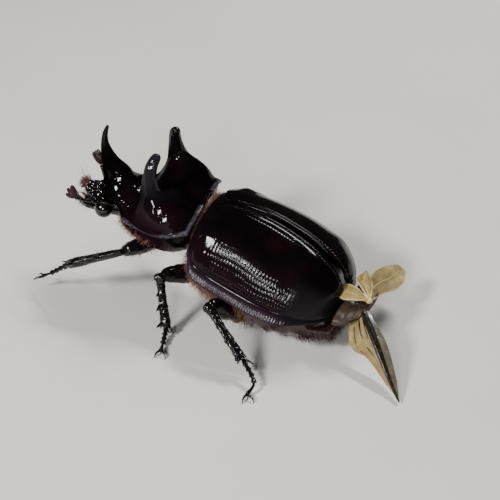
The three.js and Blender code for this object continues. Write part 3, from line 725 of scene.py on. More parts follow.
def head_core():
    def place(angle, v):
        t = 0.5 - 0.5 * np.cos(PI * v)
        y = mix(-22.35, -14.2, t)
        wide = follow(t, [[0, 1.2], [0.08, 1.7], [0.3, 2.7], [0.47, 3.6], [0.6, 3.9], [0.75, 3.5], [1, 3.0]])
        top = follow(t, [[0, -1.4], [0.15, -0.9], [0.35, -0.1], [0.6, 0.5], [1, 0.3]])
        under = follow(t, [[0, -2.3], [0.2, -3.0], [0.5, -4.2], [1, -4.2]])
        middle = (top + under) / 2 + 0.1
        c = np.cos(angle)
        lift = np.where(c > 0, (top - middle) * np.abs(c) ** 0.8, (under - middle) * np.abs(c) ** 0.8)
        open_by = cap(v, 0.09)
        return xyz(wide * np.sin(angle) * open_by, y, middle + lift * open_by)

    return rolled(150, 150, place)


def head_skin():
    clypeus = Path((-1.85, -20.8, -1.1), (-1.4, -22.1, -1.2), (-0.6, -22.5, -0.9), (0, -22.25, -1.05),
        (0.6, -22.5, -0.9), (1.4, -22.1, -1.2), (1.85, -20.8, -1.1))
    rim = tube(clypeus, UP, 16, 90, even(0.26, 0.3), 0.08)
    others = [(rim, 0.8)]
    for side in (-1, 1):
        shield = sided(side, (2.7, -20.6, -1.2), (3.9, -19.3, -1.0), (4.5, -18.5, -1.15))
        plate = tube(shield, UP, 20, 40, lambda t, a: (0.75 * np.sin(PI * (0.2 + 0.7 * t)), 0.22 + 0 * t), 0.15)
        socket = sided(side, (3.3, -16.0, -0.1), (3.9, -16.4, -0.2), (4.35, -17.3, -0.1),
            (4.3, -18.4, -0.5))
        ridge = tube(socket, UP, 16, 50, even(0.34, 0.26), 0.15)
        others += [(plate, 0.7), (ridge, 0.7)]
    keel = tube(Path((-1.3, -20.2, -0.15), (0, -20.35, 0.1), (1.3, -20.2, -0.15)), UP, 16, 30,
        even(0.35, 0.3), 0.2)
    knob = ball((0, -18.6, 0.45), (0.75, 0.65, 0.42))
    others += [(keel, 0.9), (knob, 0.9)]
    mesh = relaxed(blended(head_core(), others, HEAD_VOXEL), 1)

    def depth(p, n):
        x, y = p[:, 0], p[:, 1]
        top = ease(n[:, 2], 0.05, 0.4)
        rugose = (0.13 * lumps(p, 0.55, 1) + 0.03 * np.sin(9 * y + 2 * x)) * top
        rugose = rugose * (1 - 0.85 * ease(-y, 19.8, 20.8))
        hollow = -0.4 * hill(np.abs(x), 1.9, 0.8) * hill(y, -19.0, 1.5) * top
        return rugose + hollow + 0.008 * lumps(p, 0.35, 6)

    mesh = carved(mesh, depth)
    return mesh, {"tip": ease(-read_points(mesh)[:, 1], 20.2, 22.2)}


FEELERS = {
    "left": ((2.9, -20.1, -1.9), (3.9, -21.3, -1.5), (5.2, -22.7, -0.6),
        [(4.9, -23.7, 1.5), (4.6, -24.6, 0.2), (4.9, -24.6, -1.0)]),
    "right": ((-2.9, -20.1, -1.9), (-4.2, -21.3, -1.2), (-5.3, -22.4, -0.2),
        [(-6.3, -24.3, 1.6), (-5.8, -24.5, 1.5), (-6.8, -24.0, 1.7)]),
}


def feeler_skin(side):
    root, bend, end, tips = FEELERS[side]
    path = Path(root, bend, end)

    def girth(t, angle):
        bead = np.abs(np.sin(8 * PI * np.clip(t, 0.35, 1))) ** 0.5
        r = np.where(t < 0.4, 0.2 + 0.16 * np.sin(PI * t / 0.42), 0.15 + 0.12 * bead + 0.12 * t**5)
        return r, r

    parts = [tube(path, UP, 16, 120, girth, 0.04)]
    for tip in tips:
        leaf = Path(end, mix(np.array(end), np.array(tip), 0.5) + vec(0.06, 0, 0.05), tip)
        parts.append(tube(leaf, (1, 0.2, 0), 20, 40,
            lambda t, a: (0.56 * np.sin(PI * (0.06 + 0.84 * t)) ** 0.6, 0.13 + 0.03 * np.cos(2 * a)), 0.12))
    return joined(parts)


def mouth_skin():
    parts = [ball((0, -19.4, -4.35), (2.0, 2.8, 0.85)), ball((0, -21.6, -3.9), (1.1, 1.2, 0.5))]
    for side in (-1, 1):
        blade = sided(side, (1.2, -20.6, -4.1), (2.0, -22.4, -3.4), (1.75, -23.7, -2.7),
            (1.15, -24.2, -2.3))
        tooth = sided(side, (1.9, -22.8, -3.2), (1.5, -23.6, -2.9), (0.8, -23.9, -2.8))
        palp = sided(side, (1.3, -19.8, -4.5), (1.9, -21.2, -4.3), (2.0, -22.4, -3.8),
            (1.7, -23.3, -3.3))
        small = sided(side, (0.6, -21.6, -4.3), (0.9, -22.8, -4.3), (0.75, -23.6, -4.0))
        jointed = lambda t, a: (0.2 + 0.1 * np.abs(np.sin(3 * PI * t)) ** 0.6,) * 2
        parts += [
            tube(blade, UP, 20, 50, lambda t, a: (mix(0.75, 0.12, t**1.4), mix(0.42, 0.12, t)), 0.1),
            tube(tooth, UP, 14, 30, lambda t, a: (mix(0.35, 0.08, t), mix(0.25, 0.08, t)), 0.1),
            tube(palp, UP, 14, 70, jointed, 0.05),
            tube(small, UP, 12, 50, lambda t, a: tuple(0.7 * r for r in jointed(t, a)), 0.06),
        ]
    return joined(parts)


# ---------------------------------------------------------------- underside


BREAST_VOXEL = 0.26


def breast_core():
    def place(angle, v):
        t = 0.5 - 0.5 * np.cos(PI * v)
        y = mix(-1.3, 9.3, t)
        wide = follow(y, [[-1.3, 6.4], [0.5, 8.0], [4, 9.5], [9.3, 10.0]])
        roof = follow(y, [[-1.3, 5.0], [1, 5.7], [4, 6.2], [9.3, 6.6]])
        keel = follow(y, [[-1.3, -6.4], [1, -7.9], [5, -8.3], [9.3, -7.7]])
        edge = -0.9
        c = np.cos(angle)
        lift = np.where(c > 0, (roof - edge) * np.abs(c) ** 1.2, (keel - edge) * np.abs(c) ** 0.75)
        open_by = cap(v, 0.06)
        return xyz(wide * power(np.sin(angle), 0.95) * open_by, y, edge + lift * open_by)

    return rolled(130, 100, place)


def breast_skin():
    others = []
    for side in (-1, 1):
        socket, hip = vec(side * 3.4, 6.6, -6.2), vec(side * 9.1, 11.2, -7.4)
        plate = Path(socket, mix(socket, hip, 0.5), hip)
        swell = lambda t: 0.6 + 0.4 * np.sin(PI * (0.15 + 0.7 * t))
        hind = tube(plate, UP, 30, 50, lambda t, a: (2.4 * swell(t), 1.75 * swell(t)), 0.2)
        mid = tube(sided(side, (1.7, 1.9, -6.6), (4.4, 1.3, -6.7), (6.6, 0.6, -5.4)), UP, 26, 40,
            even(1.5, 1.35), 0.3)
        pad = ball((side * 8.6, 3.4, -2.6), (1.6, 3.8, 2.0))
        others += [(hind, 0.5), (mid, 0.4), (pad, 1.2)]
    mesh = relaxed(blended(breast_core(), others, BREAST_VOXEL), 1)

    def depth(p, n):
        x, y = p[:, 0], p[:, 1]
        under = ease(-n[:, 2], 0.2, 0.6)
        furrow = -0.25 * hill(x, 0, 0.22) * ease(y, 1, 3) * under
        return furrow + 0.04 * lumps(p, 0.8, 3) + 0.02 * lumps(p, 0.35, 4)

    mesh = carved(mesh, depth)
    p, n = read_points(mesh), read_normals(mesh)
    plate = ease(-n[:, 2], 0.15, 0.6) * ease(-p[:, 2], 4.2, 5.6)
    return mesh, {"plate": plate}


def abdomen_skin():
    marks = {}
    wide_by = [[8.9, 9.8], [14, 10.5], [18, 10.2], [21, 9.1], [24, 7.6], [26.3, 6.3]]
    belly_by = [[8, -7.7], [14, -8.6], [18, -8.5], [21, -7.7], [24, -6.3], [27, -4.6]]
    segments = 6

    def place(angle, v):
        t = 0.5 - 0.5 * np.cos(PI * v)
        y = mix(8.5, 26.75, t)
        shelf = (t * segments) % 1.0
        lap = 0.3 * ease(shelf, 0.0, 0.9) - 0.3 * ease(shelf, 0.93, 1.0) - 0.1
        tuck = ease(y, 20.5, 24)
        q = np.clip(y / WingCase.length, 0, 0.85)
        edge = mix(WingCase.edge(q), -4.2, tuck)
        roof = mix(WingCase.crown(np.minimum((y + 2) / WingCase.length, 1)) - 1.9, -3.2, tuck)
        wide = follow(y, wide_by) + 0.5 * lap
        bottom = follow(y, belly_by) - lap
        c = np.cos(angle)
        top = c > 0
        lift = np.where(top, (roof - edge) * np.abs(c) ** 1.35, (bottom - edge) * np.abs(c) ** 0.45)
        swell = np.where(top, 1, 1 + 0.1 * np.abs(c) * (1 - tuck))
        open_by = cap(v, 0.06)
        s = power(np.sin(angle), 0.87)
        p = xyz(wide * swell * s * open_by, y, edge + lift * open_by)
        p[:, 2] += 0.02 * lumps(p, 0.5, 2)
        marks["belly"] = ease(-c, 0.25, 0.75)
        marks["joint"] = ease(shelf, 0.9, 0.97) + (1 - ease(shelf, 0.0, 0.07))
        return p

    mesh = grid(150, 260, lambda u, v: place(2 * PI * u, v))
    marked(mesh, marks)
    return closed(mesh)


def pygidium_skin():
    def place(angle, v):
        c = np.cos(angle)
        reach = np.sin(PI / 2 * 0.97 * v)
        y = mix(26.2, 30.7, reach)
        narrow = np.cos(PI / 2 * 0.97 * v) ** 0.8
        edge = mix(-1.5, -0.1, reach)
        top = mix(-0.1, 0.35, reach)
        under = mix(-3.7, -0.9, reach**1.3)
        lift = np.where(c > 0, (top - edge) * np.abs(c), (under - edge) * np.abs(c) ** 0.7)
        open_by = np.where(v < 0.08, cap(v, 0.08), 1) * np.where(v > 0.97, cap(v, 0.03), 1)
        side = 6.6 * narrow * power(np.sin(angle), 0.9)
        p = xyz(side * open_by, y, edge + lift * open_by)
        rim = 0.16 * hill(np.abs(np.sin(angle)), 1.0, 0.12) * ease(v, 0.1, 0.3)
        p += rim[:, None] * unit(xyz(side, 3 + 0 * side, 0 * side))
        folds = np.cos(2 * PI * (5.5 * v + 0.12 * lumps(p, 1.6, 4))) * ease(c, 0.1, 0.5) * ease(v, 0.15, 0.3)
        p[:, 2] += 0.07 * folds * (1 - ease(v, 0.8, 0.95)) + 0.02 * lumps(p, 0.5, 5) * ease(c, 0.1, 0.5)
        return p

    return rolled(160, 110, place)


def neck_skin():
    mesh = ball(NECK_AT, (NECK_RADIUS,) * 3, 90, 70)
    return carved(mesh, lambda p, n: 0.1 * np.sin(2 * PI * p[:, 1] / 1.1) + 0.05 * lumps(p, 0.9, 2))


# ---------------------------------------------------------------- legs


class Leg:
    """One leg's joints in the standing frame; out points away from the body on the shin's outer side."""

    def __init__(self, name, hip, knee, ankle, toe, out, digging=False, sway=0.0):
        self.name, self.digging, self.sway = name, digging, sway
        self.hip, self.knee, self.ankle, self.toe = (vec(*p) for p in (hip, knee, ankle, toe))
        self.out = vec(*out)
        self.forward = unit(self.ankle - self.knee)
        self.outer = unit(self.out - self.forward * np.dot(self.out, self.forward))
        self.side = np.cross(self.forward, self.outer)


def standing_at(place, matrix):
    return tuple(STANDING.inverted() @ matrix @ Vector(place))


LEGS = [
    Leg("fore_left", standing_at((3.2, -7, -5.5), FORE), (12, -11.3, 11), (15.8, -20.2, 7.5), (16.3, -27, 2.5),
        (0.85, 0.17, 0.5), digging=True),
    Leg("fore_right", standing_at((-3.2, -7, -5.5), FORE), (-9.6, -13.2, 11.4), (-13.2, -18.4, 3.7),
        (-14.6, -23.6, 0), (-0.9, 0.1, 0.35), digging=True),
    Leg("mid_left", standing_at((3.8, 1.5, -7), BODY), (12.8, -3.1, 9.6), (15.8, -0.2, 1.6), (21.9, 2.25, 0),
        (0.9, -0.3, 0.2)),
    Leg("mid_right", standing_at((-3.8, 1.5, -7), BODY), (-13.2, -1.6, 9.9), (-17.2, 1.6, 1.9), (-22.8, 4.4, 0),
        (-0.9, -0.3, 0.2)),
    Leg("hind_left", standing_at((8.8, 11.1, -7.5), BODY), (15.3, 7.7, 9.1), (18.3, 16.1, 2.9),
        (24.25, 20.4, 0), (0.8, -0.2, 0.5), sway=1.6),
    Leg("hind_right", standing_at((-8.8, 11.1, -7.5), BODY), (-14.3, 7.5, 9.6), (-15.2, 14.8, 2.4),
        (-20.8, 16.5, 0), (-0.8, -0.2, 0.5)),
]


def femur_path(leg):
    axis = unit(leg.knee - leg.hip)
    return Path(leg.hip - axis * 1.1, mix(leg.hip, leg.knee, 0.5) + vec(0, 0, 0.4), leg.knee - axis * 0.1)


def femur_size(t, angle):
    girth = follow(t, [[0, 0.5], [0.12, 1.0], [0.25, 1.0], [0.52, 1.36], [0.8, 1.15], [0.92, 0.95], [1, 0.8]])
    edge = 1 + 0.05 * np.cos(2 * angle)
    return girth * 1.34 * edge, girth * 0.92


def femur_skin(leg):
    up = np.cross(leg.out, leg.knee - leg.hip)
    stout = 1.2 if leg.digging else 1.0
    mesh = tube(femur_path(leg), up, 56, 90, lambda t, a: tuple(stout * r for r in femur_size(t, a)), 0.1)
    return carved(mesh, lambda p, n: 0.05 * lumps(p, 0.9, 3))


def shin_rows(leg):
    return [0.42, 0.66, 0.92] if leg.digging else [0.36, 0.62, 0.94]


def shin_parts(leg):
    """The path of a shin and its half-widths through and across."""
    bend = mix(leg.knee, leg.ankle, 0.45) + leg.outer * 0.1
    path = Path(leg.knee - leg.forward * 0.45, bend, leg.ankle - leg.forward * 0.15)
    if leg.digging:
        flare = [[0, 0.62], [0.1, 0.72], [0.22, 0.8], [0.5, 0.88], [0.8, 1.0], [1, 0.95]]
        return path, 0.9, 1.65, flare
    flare = [[0, 1.15], [0.08, 1.3], [0.2, 0.88], [0.4, 0.8], [0.75, 0.95], [1, 1.08]]
    return path, 0.8, 0.9, flare


def shin_skin(leg):
    path, thin, broad, flare = shin_parts(leg)

    def size(t, angle):
        girth = follow(t, flare)
        collar = 0.08 * ease(t, 0.955, 0.985)
        keel = 1 + 0.1 * np.maximum(np.cos(angle), 0) ** 8
        ring = 0.0 if leg.digging else 0.1 * hill(t, 0.38, 0.02) + 0.1 * hill(t, 0.64, 0.02)
        flute = 1 - 0.07 * np.abs(np.cos(1.5 * angle + 0.6)) ** 6
        return girth * thin * flute + collar + ring, girth * broad * keel * flute + collar + ring

    parts = [tube(path, leg.outer, 44, 130, size, 0.05)]
    length = np.linalg.norm(leg.ankle - leg.knee)
    reach, girth = (1.45, 0.72) if leg.digging else (1.0, 0.36)
    for row, t in enumerate(shin_rows(leg)):
        half = broad * (0.25 + 0.325 * t)
        root = leg.knee + leg.forward * (t * length - 0.5) + leg.outer * half
        tip = root + leg.outer * (half + reach * (0.75 + 0.18 * row)) + leg.forward * 0.7
        curve = Path(root, mix(root, tip, 0.55) - leg.forward * 0.12, tip)
        parts.append(tube(curve, leg.forward, 18, 26,
            lambda t, a: (girth * 0.75 * (1 - t) ** 0.7 + 0.06, girth * (1 - t) ** 0.7 + 0.06), 0.1))
    end = leg.ankle - leg.forward * 0.45
    for lean in (-1, 1):
        root = end - leg.outer * 0.45 + leg.side * 0.15 * lean
        tip = root + leg.forward * 1.75 - leg.outer * 0.5 + leg.side * 0.65 * lean
        curve = Path(root, mix(root, tip, 0.5) + leg.outer * 0.08, tip)
        parts.append(tube(curve, leg.side, 14, 22, lambda t, a: (0.2 * (1 - t) ** 0.6 + 0.05,) * 2, 0.1))
    if not leg.digging:
        for t, count in ((0.38, 5), (0.64, 6), (0.97, 9)):
            middle = path.at(np.array([t]))[0]
            half = np.interp(t, *np.array(flare).T)
            for k in range(count):
                turn = mix(-1.9, 1.9, (k + 0.5) / count)
                face = leg.outer * math.cos(turn) * broad + leg.side * math.sin(turn) * thin
                root = middle + face * half * 0.85
                tip = root + unit(face) * 0.32 + leg.forward * 0.42
                parts.append(tube(Path(root, mix(root, tip, 0.5), tip), leg.side, 8, 8,
                    lambda t, a: (0.1 * (1 - t) + 0.03,) * 2, 0.12))
    return carved(joined(parts), lambda p, n: 0.07 * lumps(p, 0.7, 4))


def tarsus_paths(leg):
    flat = unit((leg.toe - leg.ankle) * (1, 1, 0))
    side = vec(-flat[1], flat[0], 0)
    start = leg.ankle - unit(leg.toe - leg.ankle) * 0.25
    heel = leg.toe - flat * 1.45
    heel[2] = leg.toe[2] + 0.77
    middle = mix(start, heel, 0.55) + vec(0, leg.sway, -0.25)
    claws = []
    for lean in (-1, 1):
        knuckle = heel + flat * 0.72 + side * 0.72 * lean
        knuckle[2] = leg.toe[2] + 0.62
        hook = leg.toe + side * 0.95 * lean - flat * 0.05
        hook[2] = leg.toe[2] + 0.07
        claws.append(Path(heel - flat * 0.2, knuckle, hook))
    return Path(start, middle, heel), claws


def foot_skin(leg):
    stalk, claws = tarsus_paths(leg)
    joints = 5
    share = np.array([0.0, 0.17, 0.33, 0.49, 0.66, 1.0])

    def size(t, angle):
        i = np.clip(np.searchsorted(share, t, side="right") - 1, 0, joints - 1)
        s = (t - share[i]) / (share[i + 1] - share[i])
        bell = 0.28 + 0.26 * s**1.3 - 0.3 * ease(s, 0.88, 1.0)
        last = 0.2 + 0.22 * s**2.5 + 0.03 * np.sin(PI * s)
        r = np.where(i == joints - 1, last, bell)
        return r, r * (0.95 + 0.05 * np.cos(angle))

    parts = [tube(stalk, UP, 22, 170, size, 0.03)]
    for claw in claws:
        parts.append(tube(claw, UP, 16, 40,
            lambda t, a: (0.22 * (1 - 0.78 * t**1.5), 0.26 * (1 - 0.78 * t**1.5)), 0.06))
    pad = mix(claws[0].line[0], (claws[0].line[-1] + claws[1].line[-1]) / 2, 0.55)
    parts.append(tube(Path(claws[0].line[0], mix(claws[0].line[0], pad, 0.5), pad), UP, 10, 14,
        slender(0.1, 0.5), 0.1))
    mesh = joined(parts)
    points = read_points(mesh)
    points[:, 2] = np.maximum(points[:, 2], 0.0)
    write_points(mesh, points)
    return mesh


# ---------------------------------------------------------------- hind wings

WING_FILM = 0.16


def film(first, second, across, along, ripple):
    """A thin closed leaf of membrane between two edges."""

    def surface(u, v):
        p = mix(first.at(v), second.at(v), u[:, None])
        p[:, 2] += ripple(u, v)
        return p

    def place(angle, v):
        u = 0.5 - 0.5 * np.cos(angle)
        side = np.sign(np.sin(angle)) * np.minimum(np.abs(np.sin(angle)) * 3, 1)
        step = 0.01
        du = surface(np.minimum(u + step, 1), v) - surface(np.maximum(u - step, 0), v)
        dv = surface(u, np.minimum(v + step, 1)) - surface(u, np.maximum(v - step, 0))
        return surface(u, v) + unit(np.cross(du, dv)) * (side * WING_FILM / 2 * cap(v, 0.02))[:, None]

    return rolled(across, along, place)


RIB_POINTS = 9


def rib(first, second, ripple, share, start, end, girth, lift=0.0):
    """A thin vein between two edges of a leaf, following its ripples."""
    t = np.linspace(start, end, RIB_POINTS)
    line = mix(first.at(t), second.at(t), share)
    line[:, 2] += ripple(np.full(RIB_POINTS, share), t) + lift
    return tube(Path(*line), UP, 10, 60, slender(girth, 0.6), 0.08)


def left_wing_edges():
    root, tip = vec(2.5, 29.9, 8.0), vec(12.3, 41.4, 0.5)
    costa = Path(root, (6.2, 34.2, 5.2), (9.6, 38.2, 2.3), tip)
    outer = Path((3.3, 28.6, 6.8), (5.6, 28.9, 5.2), (7.1, 30.5, 3.2), (6.7, 32.6, 2.3), (7.5, 34.8, 1.4),
        (9.9, 38.3, 0.8), tip + (-0.6, -0.3, 0))
    back = Path((1.6, 30.3, 7.8), (5.0, 35.6, 5.0), (8.9, 39.2, 2.2), tip)
    return costa, outer, back


def left_wing_skins():
    costa, outer, back = left_wing_edges()

    def crumple(u, v):
        pleat = 0.36 * np.sin(3.4 * PI * u + 4 * v + np.sin(9 * v)) * np.sin(PI * np.minimum(v * 1.15, 1))
        fine = 0.14 * np.sin(13 * u + 27 * v) * np.sin(21 * v - 11 * u)
        return (pleat + fine) * (1 - u) ** 0.6 * np.clip(4 * u, 0.25, 1)

    web = film(outer, costa, 120, 150, crumple)
    strip = film(costa, back, 60, 130, lambda u, v: 0.12 * np.sin(9 * v) * u)
    girths = by_stops([[0, 0.6], [0.35, 0.58], [1, 0.2]], [[0, 0.45], [0.35, 0.42], [1, 0.18]])
    ribs = [tube(costa, UP, 24, 120, girths, 0.05)]
    for share, start, end, girth in ((0.55, 0.05, 0.9, 0.15), (0.28, 0.1, 0.75, 0.12), (0.8, 0.03, 0.98, 0.13)):
        ribs.append(rib(outer, costa, crumple, share, start, end, girth))
    return [web, strip], ribs


def right_wing_leaves():
    pivot = vec(0.6, 30.1, 9.1)
    inner = (Path(pivot, (-0.1, 26.7, 10.2), (-0.8, 24.4, 9.3)),
        Path(pivot + (0.4, -0.2, 0), (2.5, 28.6, 9.8), (3.2, 26.7, 9.7), (2.3, 24.9, 9.0)))
    middle = (Path(pivot, (-0.7, 27.7, 10.2), (-1.6, 26.5, 10.3), (-6.1, 26.3, 9.5)),
        Path(pivot + (-0.3, 0, 0), (-3.0, 28.9, 9.6), (-5.2, 27.4, 9.5), (-6.3, 26.5, 9.3)))
    outer = (Path(pivot + (-0.3, 0.1, -0.5), (-4.6, 30.2, 6.8), (-8.6, 31.3, 5.8), (-11.4, 31.4, 5.6),
        (-14.2, 30.4, 6.0)),
        Path((-3.9, 28.0, 9.0), (-6.6, 27.2, 8.7), (-9.6, 27.0, 8.0), (-12.2, 27.6, 7.3), (-14.3, 28.9, 6.7)))
    return inner, middle, outer


def right_wing_skins():
    leaves = right_wing_leaves()

    def pleat(u, v):
        return 0.16 * np.sin(3 * PI * u + 2 * v) * np.sin(PI * v) + 0.05 * np.sin(19 * v + 11 * u)

    webs = [film(first, second, 70, 90, pleat) for first, second in leaves]
    ribs = [rib(first, second, pleat, share, 0.02, 0.94, 0.17, 0.03) for first, second in leaves
        for share in (0.02, 0.5, 0.98)]
    ribs.append(ball((0.5, 30.0, 8.9), (0.7, 0.6, 0.45)))
    return webs, ribs


# ---------------------------------------------------------------- hair

HAIR_RINGS = [(0.0, 0.0), (0.03, 1.0), (0.35, 0.9), (0.7, 0.6), (1.0, 0.0)]
BAKE_PATCH = 0.003
ROOT_DEPTH = 0.08
ROOT_SCATTER = 0.05
CLUMP_SIZE, CLUMPING = 0.8, 0.35
FLOOR_CLEARANCE = 0.01


class Bed:
    """Where hairs grow on a skin, how many, how long, and which way they lie."""

    def __init__(self, mesh, where, count, length, girth, lie, lift=0.5, droop=0.3, stray=0.25):
        self.points, self.normals = read_points(mesh), read_normals(mesh)
        self.where, self.count, self.length, self.girth = where, count, length, girth
        self.lie, self.lift, self.droop, self.stray = lie, lift, droop, stray

    def sown(self, rng, share):
        weight = np.maximum(self.where(self.points, self.normals), 0)
        count = max(int(self.count * share), 1)
        picked = rng.choice(len(weight), size=count, p=weight / weight.sum())
        roots = self.points[picked] + rng.normal(0, ROOT_SCATTER, (count, 3))
        normals = unit(self.normals[picked])
        return roots - normals * ROOT_DEPTH, normals


def hair_template():
    """One hair of three sides, upright, with its rings along Z."""
    rings = len(HAIR_RINGS) - 1
    table = np.array(HAIR_RINGS)

    def place(u, v):
        s = np.interp(v, np.linspace(0, 1, rings + 1), table[:, 0])
        r = np.interp(v, np.linspace(0, 1, rings + 1), table[:, 1])
        return xyz(r * np.cos(2 * PI * u), r * np.sin(2 * PI * u), s)

    return closed(grid(3, rings, place))


def repeated(mesh, count):
    """The mesh count times over, one copy after another."""
    obj = bpy.data.objects.new("repeat", mesh)
    bpy.context.scene.collection.objects.link(obj)
    array = obj.modifiers.new("repeat", "ARRAY")
    array.count = count
    array.use_relative_offset = False
    array.use_constant_offset = True
    array.constant_offset_displace = (0, 0, 3)
    view = bpy.context.evaluated_depsgraph_get()
    whole = bpy.data.meshes.new_from_object(obj.evaluated_get(view))
    bpy.data.objects.remove(obj)
    return whole


def coat(name, beds, matrix, material, slot):
    """Hairs on one or more beds as one solid mesh, each hair baked at its root's place."""
    sizes = bpy.context.scene.beetle_sizes
    rng = np.random.default_rng(sizes.seed + sum(map(ord, name)))
    roots, heads, tails, lengths, girths, places = [], [], [], [], [], []
    down = np.array(matrix.inverted().to_3x3() @ Vector((0, 0, -1)))
    for number, bed in enumerate(beds):
        root, normal = bed.sown(rng, sizes.hair_count)
        n = len(root)
        lie = unit(bed.lie(root, normal))
        clump = xyz(*(lumps(root, CLUMP_SIZE, turn) for turn in (11, 12, 13))) * CLUMPING
        lie = unit(lie + clump)
        stray = rng.normal(0, bed.stray, (n, 3))
        roots.append(root)
        heads.append(unit(normal * bed.lift + lie * (1 - bed.lift) + stray))
        tails.append(unit(lie + down * bed.droop + stray + rng.normal(0, bed.stray, (n, 3))))
        lengths.append(bed.length * sizes.hair_length * rng.uniform(0.55, 1.15, n))
        girths.append(bed.girth * rng.uniform(0.7, 1.2, n))
        low, high = bed.points.min(0), bed.points.max(0)
        along = (root[:, 1] - low[1]) / (high[1] - low[1])
        out = root - (low + high) / 2
        around = np.arctan2(out[:, 0], out[:, 2]) / (2 * PI) + 0.5
        places.append(xyz((number + 0.02 + 0.96 * np.clip(along, 0, 1)) / len(beds), around))
    roots, heads, tails = np.vstack(roots), np.vstack(heads), np.vstack(tails)
    lengths, girths, places = np.concatenate(lengths), np.concatenate(girths), np.vstack(places)
    template = hair_template()
    shape = read_points(template)
    mesh = repeated(template, len(roots))
    s = shape[:, 2][None, :, None]
    spine = roots[:, None] + lengths[:, None, None] * (s * heads[:, None] + s**2 / 2 * (tails - heads)[:, None])
    across = unit(np.cross(heads, vec(0.31, 0.52, 0.79)))
    other = np.cross(heads, across)
    ring = shape[:, 0][None, :, None] * across[:, None] + shape[:, 1][None, :, None] * other[:, None]
    points = moved((spine + ring * girths[:, None, None]).reshape(-1, 3), matrix)
    points[:, 2] = np.maximum(points[:, 2], FLOOR_CLEARANCE)
    write_points(mesh, moved(points, matrix.inverted()))
    corners = np.empty(len(mesh.loops), dtype=np.int32)
    mesh.loops.foreach_get("vertex_index", corners)
    hair, part = corners // len(shape), corners % len(shape)
    patch = xyz(shape[part, 2] - 0.5, shape[part, 0] / 2) * BAKE_PATCH
    bake = mesh.uv_layers.new(name="OFBake")
    bake.data.foreach_set("uv", (places[hair] + patch).astype(np.float32).ravel())
    tone = np.repeat(rng.uniform(0, 1, len(roots)), len(shape))
    piece(name, mesh, matrix, material, slot, crease=180, marks={"strand": tone})


# ---------------------------------------------------------------- finishes


def node(tree, kind, inputs=None, **settings):
    made = tree.nodes.new(kind)
    for key, value in settings.items():
        setattr(made, key, value)
    for key, value in (inputs or {}).items():
        if isinstance(value, bpy.types.NodeSocket):
            tree.links.new(value, made.inputs[key])
        else:
            made.inputs[key].default_value = value
    return made


def group(name, inputs, outputs):
    tree = bpy.data.node_groups.new(name, "ShaderNodeTree")
    for label, kind, value in inputs:
        socket = tree.interface.new_socket(label, in_out="INPUT", socket_type=kind)
        socket.default_value = value
    for label, kind in outputs:
        tree.interface.new_socket(label, in_out="OUTPUT", socket_type=kind)
    enter = tree.nodes.new("NodeGroupInput")
    leave = tree.nodes.new("NodeGroupOutput")
    place = node(tree, "ShaderNodeTexCoord")
    scale = node(tree, "ShaderNodeVectorMath", {0: place.outputs["Object"], "Scale": 1 / MM}, operation="SCALE")
    return tree, enter.outputs, leave, scale.outputs[0]


def tone_group():
    """Cloudy change between two colours, the second over a share of the surface."""
    tree, given, leave, at = group("cuticle tone",
        [("Colour", "NodeSocketColor", (0, 0, 0, 1)), ("Tint", "NodeSocketColor", (0, 0, 0, 1)),
            ("Share", "NodeSocketFloat", 0.5), ("Scale", "NodeSocketFloat", 0.5)],
        [("Colour", "NodeSocketColor")])
    noise = node(tree, "ShaderNodeTexNoise", {"Vector": at, "Scale": given["Scale"], "Detail": 4.0})
    level = node(tree, "ShaderNodeMath", {0: noise.outputs["Fac"], 1: given["Share"]}, operation="ADD")
    step = node(tree, "ShaderNodeMapRange", {"Value": level.outputs[0], "From Min": 0.75, "From Max": 1.25},
        interpolation_type="SMOOTHSTEP")
    blend = node(tree, "ShaderNodeMix", data_type="RGBA")
    tree.links.new(step.outputs[0], blend.inputs["Factor"])
    tree.links.new(given["Colour"], blend.inputs[6])
    tree.links.new(given["Tint"], blend.inputs[7])
    tree.links.new(blend.outputs[2], leave.inputs[0])
    return tree


def pore_group():
    """Small round pits and a finer grain, as a height."""
    tree, given, leave, at = group("cuticle pores",
        [("Pits", "NodeSocketFloat", 2.0), ("Grain", "NodeSocketFloat", 8.0),
            ("Grain Share", "NodeSocketFloat", 0.3)],
        [("Height", "NodeSocketFloat")])
    cells = node(tree, "ShaderNodeTexVoronoi", {"Vector": at, "Scale": given["Pits"]})
    pit = node(tree, "ShaderNodeMapRange",
        {"Value": cells.outputs["Distance"], "From Min": 0.05, "From Max": 0.3},
        interpolation_type="SMOOTHSTEP")
    noise = node(tree, "ShaderNodeTexNoise", {"Vector": at, "Scale": given["Grain"], "Detail": 3.0})
    fine = node(tree, "ShaderNodeMath", {0: noise.outputs["Fac"], 1: given["Grain Share"]},
        operation="MULTIPLY")
    total = node(tree, "ShaderNodeMath", {0: pit.outputs[0], 1: fine.outputs[0]}, operation="ADD")
    tree.links.new(total.outputs[0], leave.inputs[0])
    return tree


def wear_group():
    """Cloudy change of shine between two roughness values."""
    tree, given, leave, at = group("rubbed shine",
        [("Bright", "NodeSocketFloat", 0.1), ("Dull", "NodeSocketFloat", 0.3),
            ("Scale", "NodeSocketFloat", 0.6)],
        [("Roughness", "NodeSocketFloat")])
    noise = node(tree, "ShaderNodeTexNoise", {"Vector": at, "Scale": given["Scale"], "Detail": 5.0})
    level = node(tree, "ShaderNodeMapRange", {"Value": noise.outputs["Fac"], "From Min": 0.3, "From Max": 0.7,
        "To Min": given["Bright"], "To Max": given["Dull"]})
    tree.links.new(level.outputs[0], leave.inputs[0])
    return tree


def faded(colour, share):
    """A colour made darker, or paler where share is above 1."""
    return tuple(min(share * v, 1.0) for v in colour)


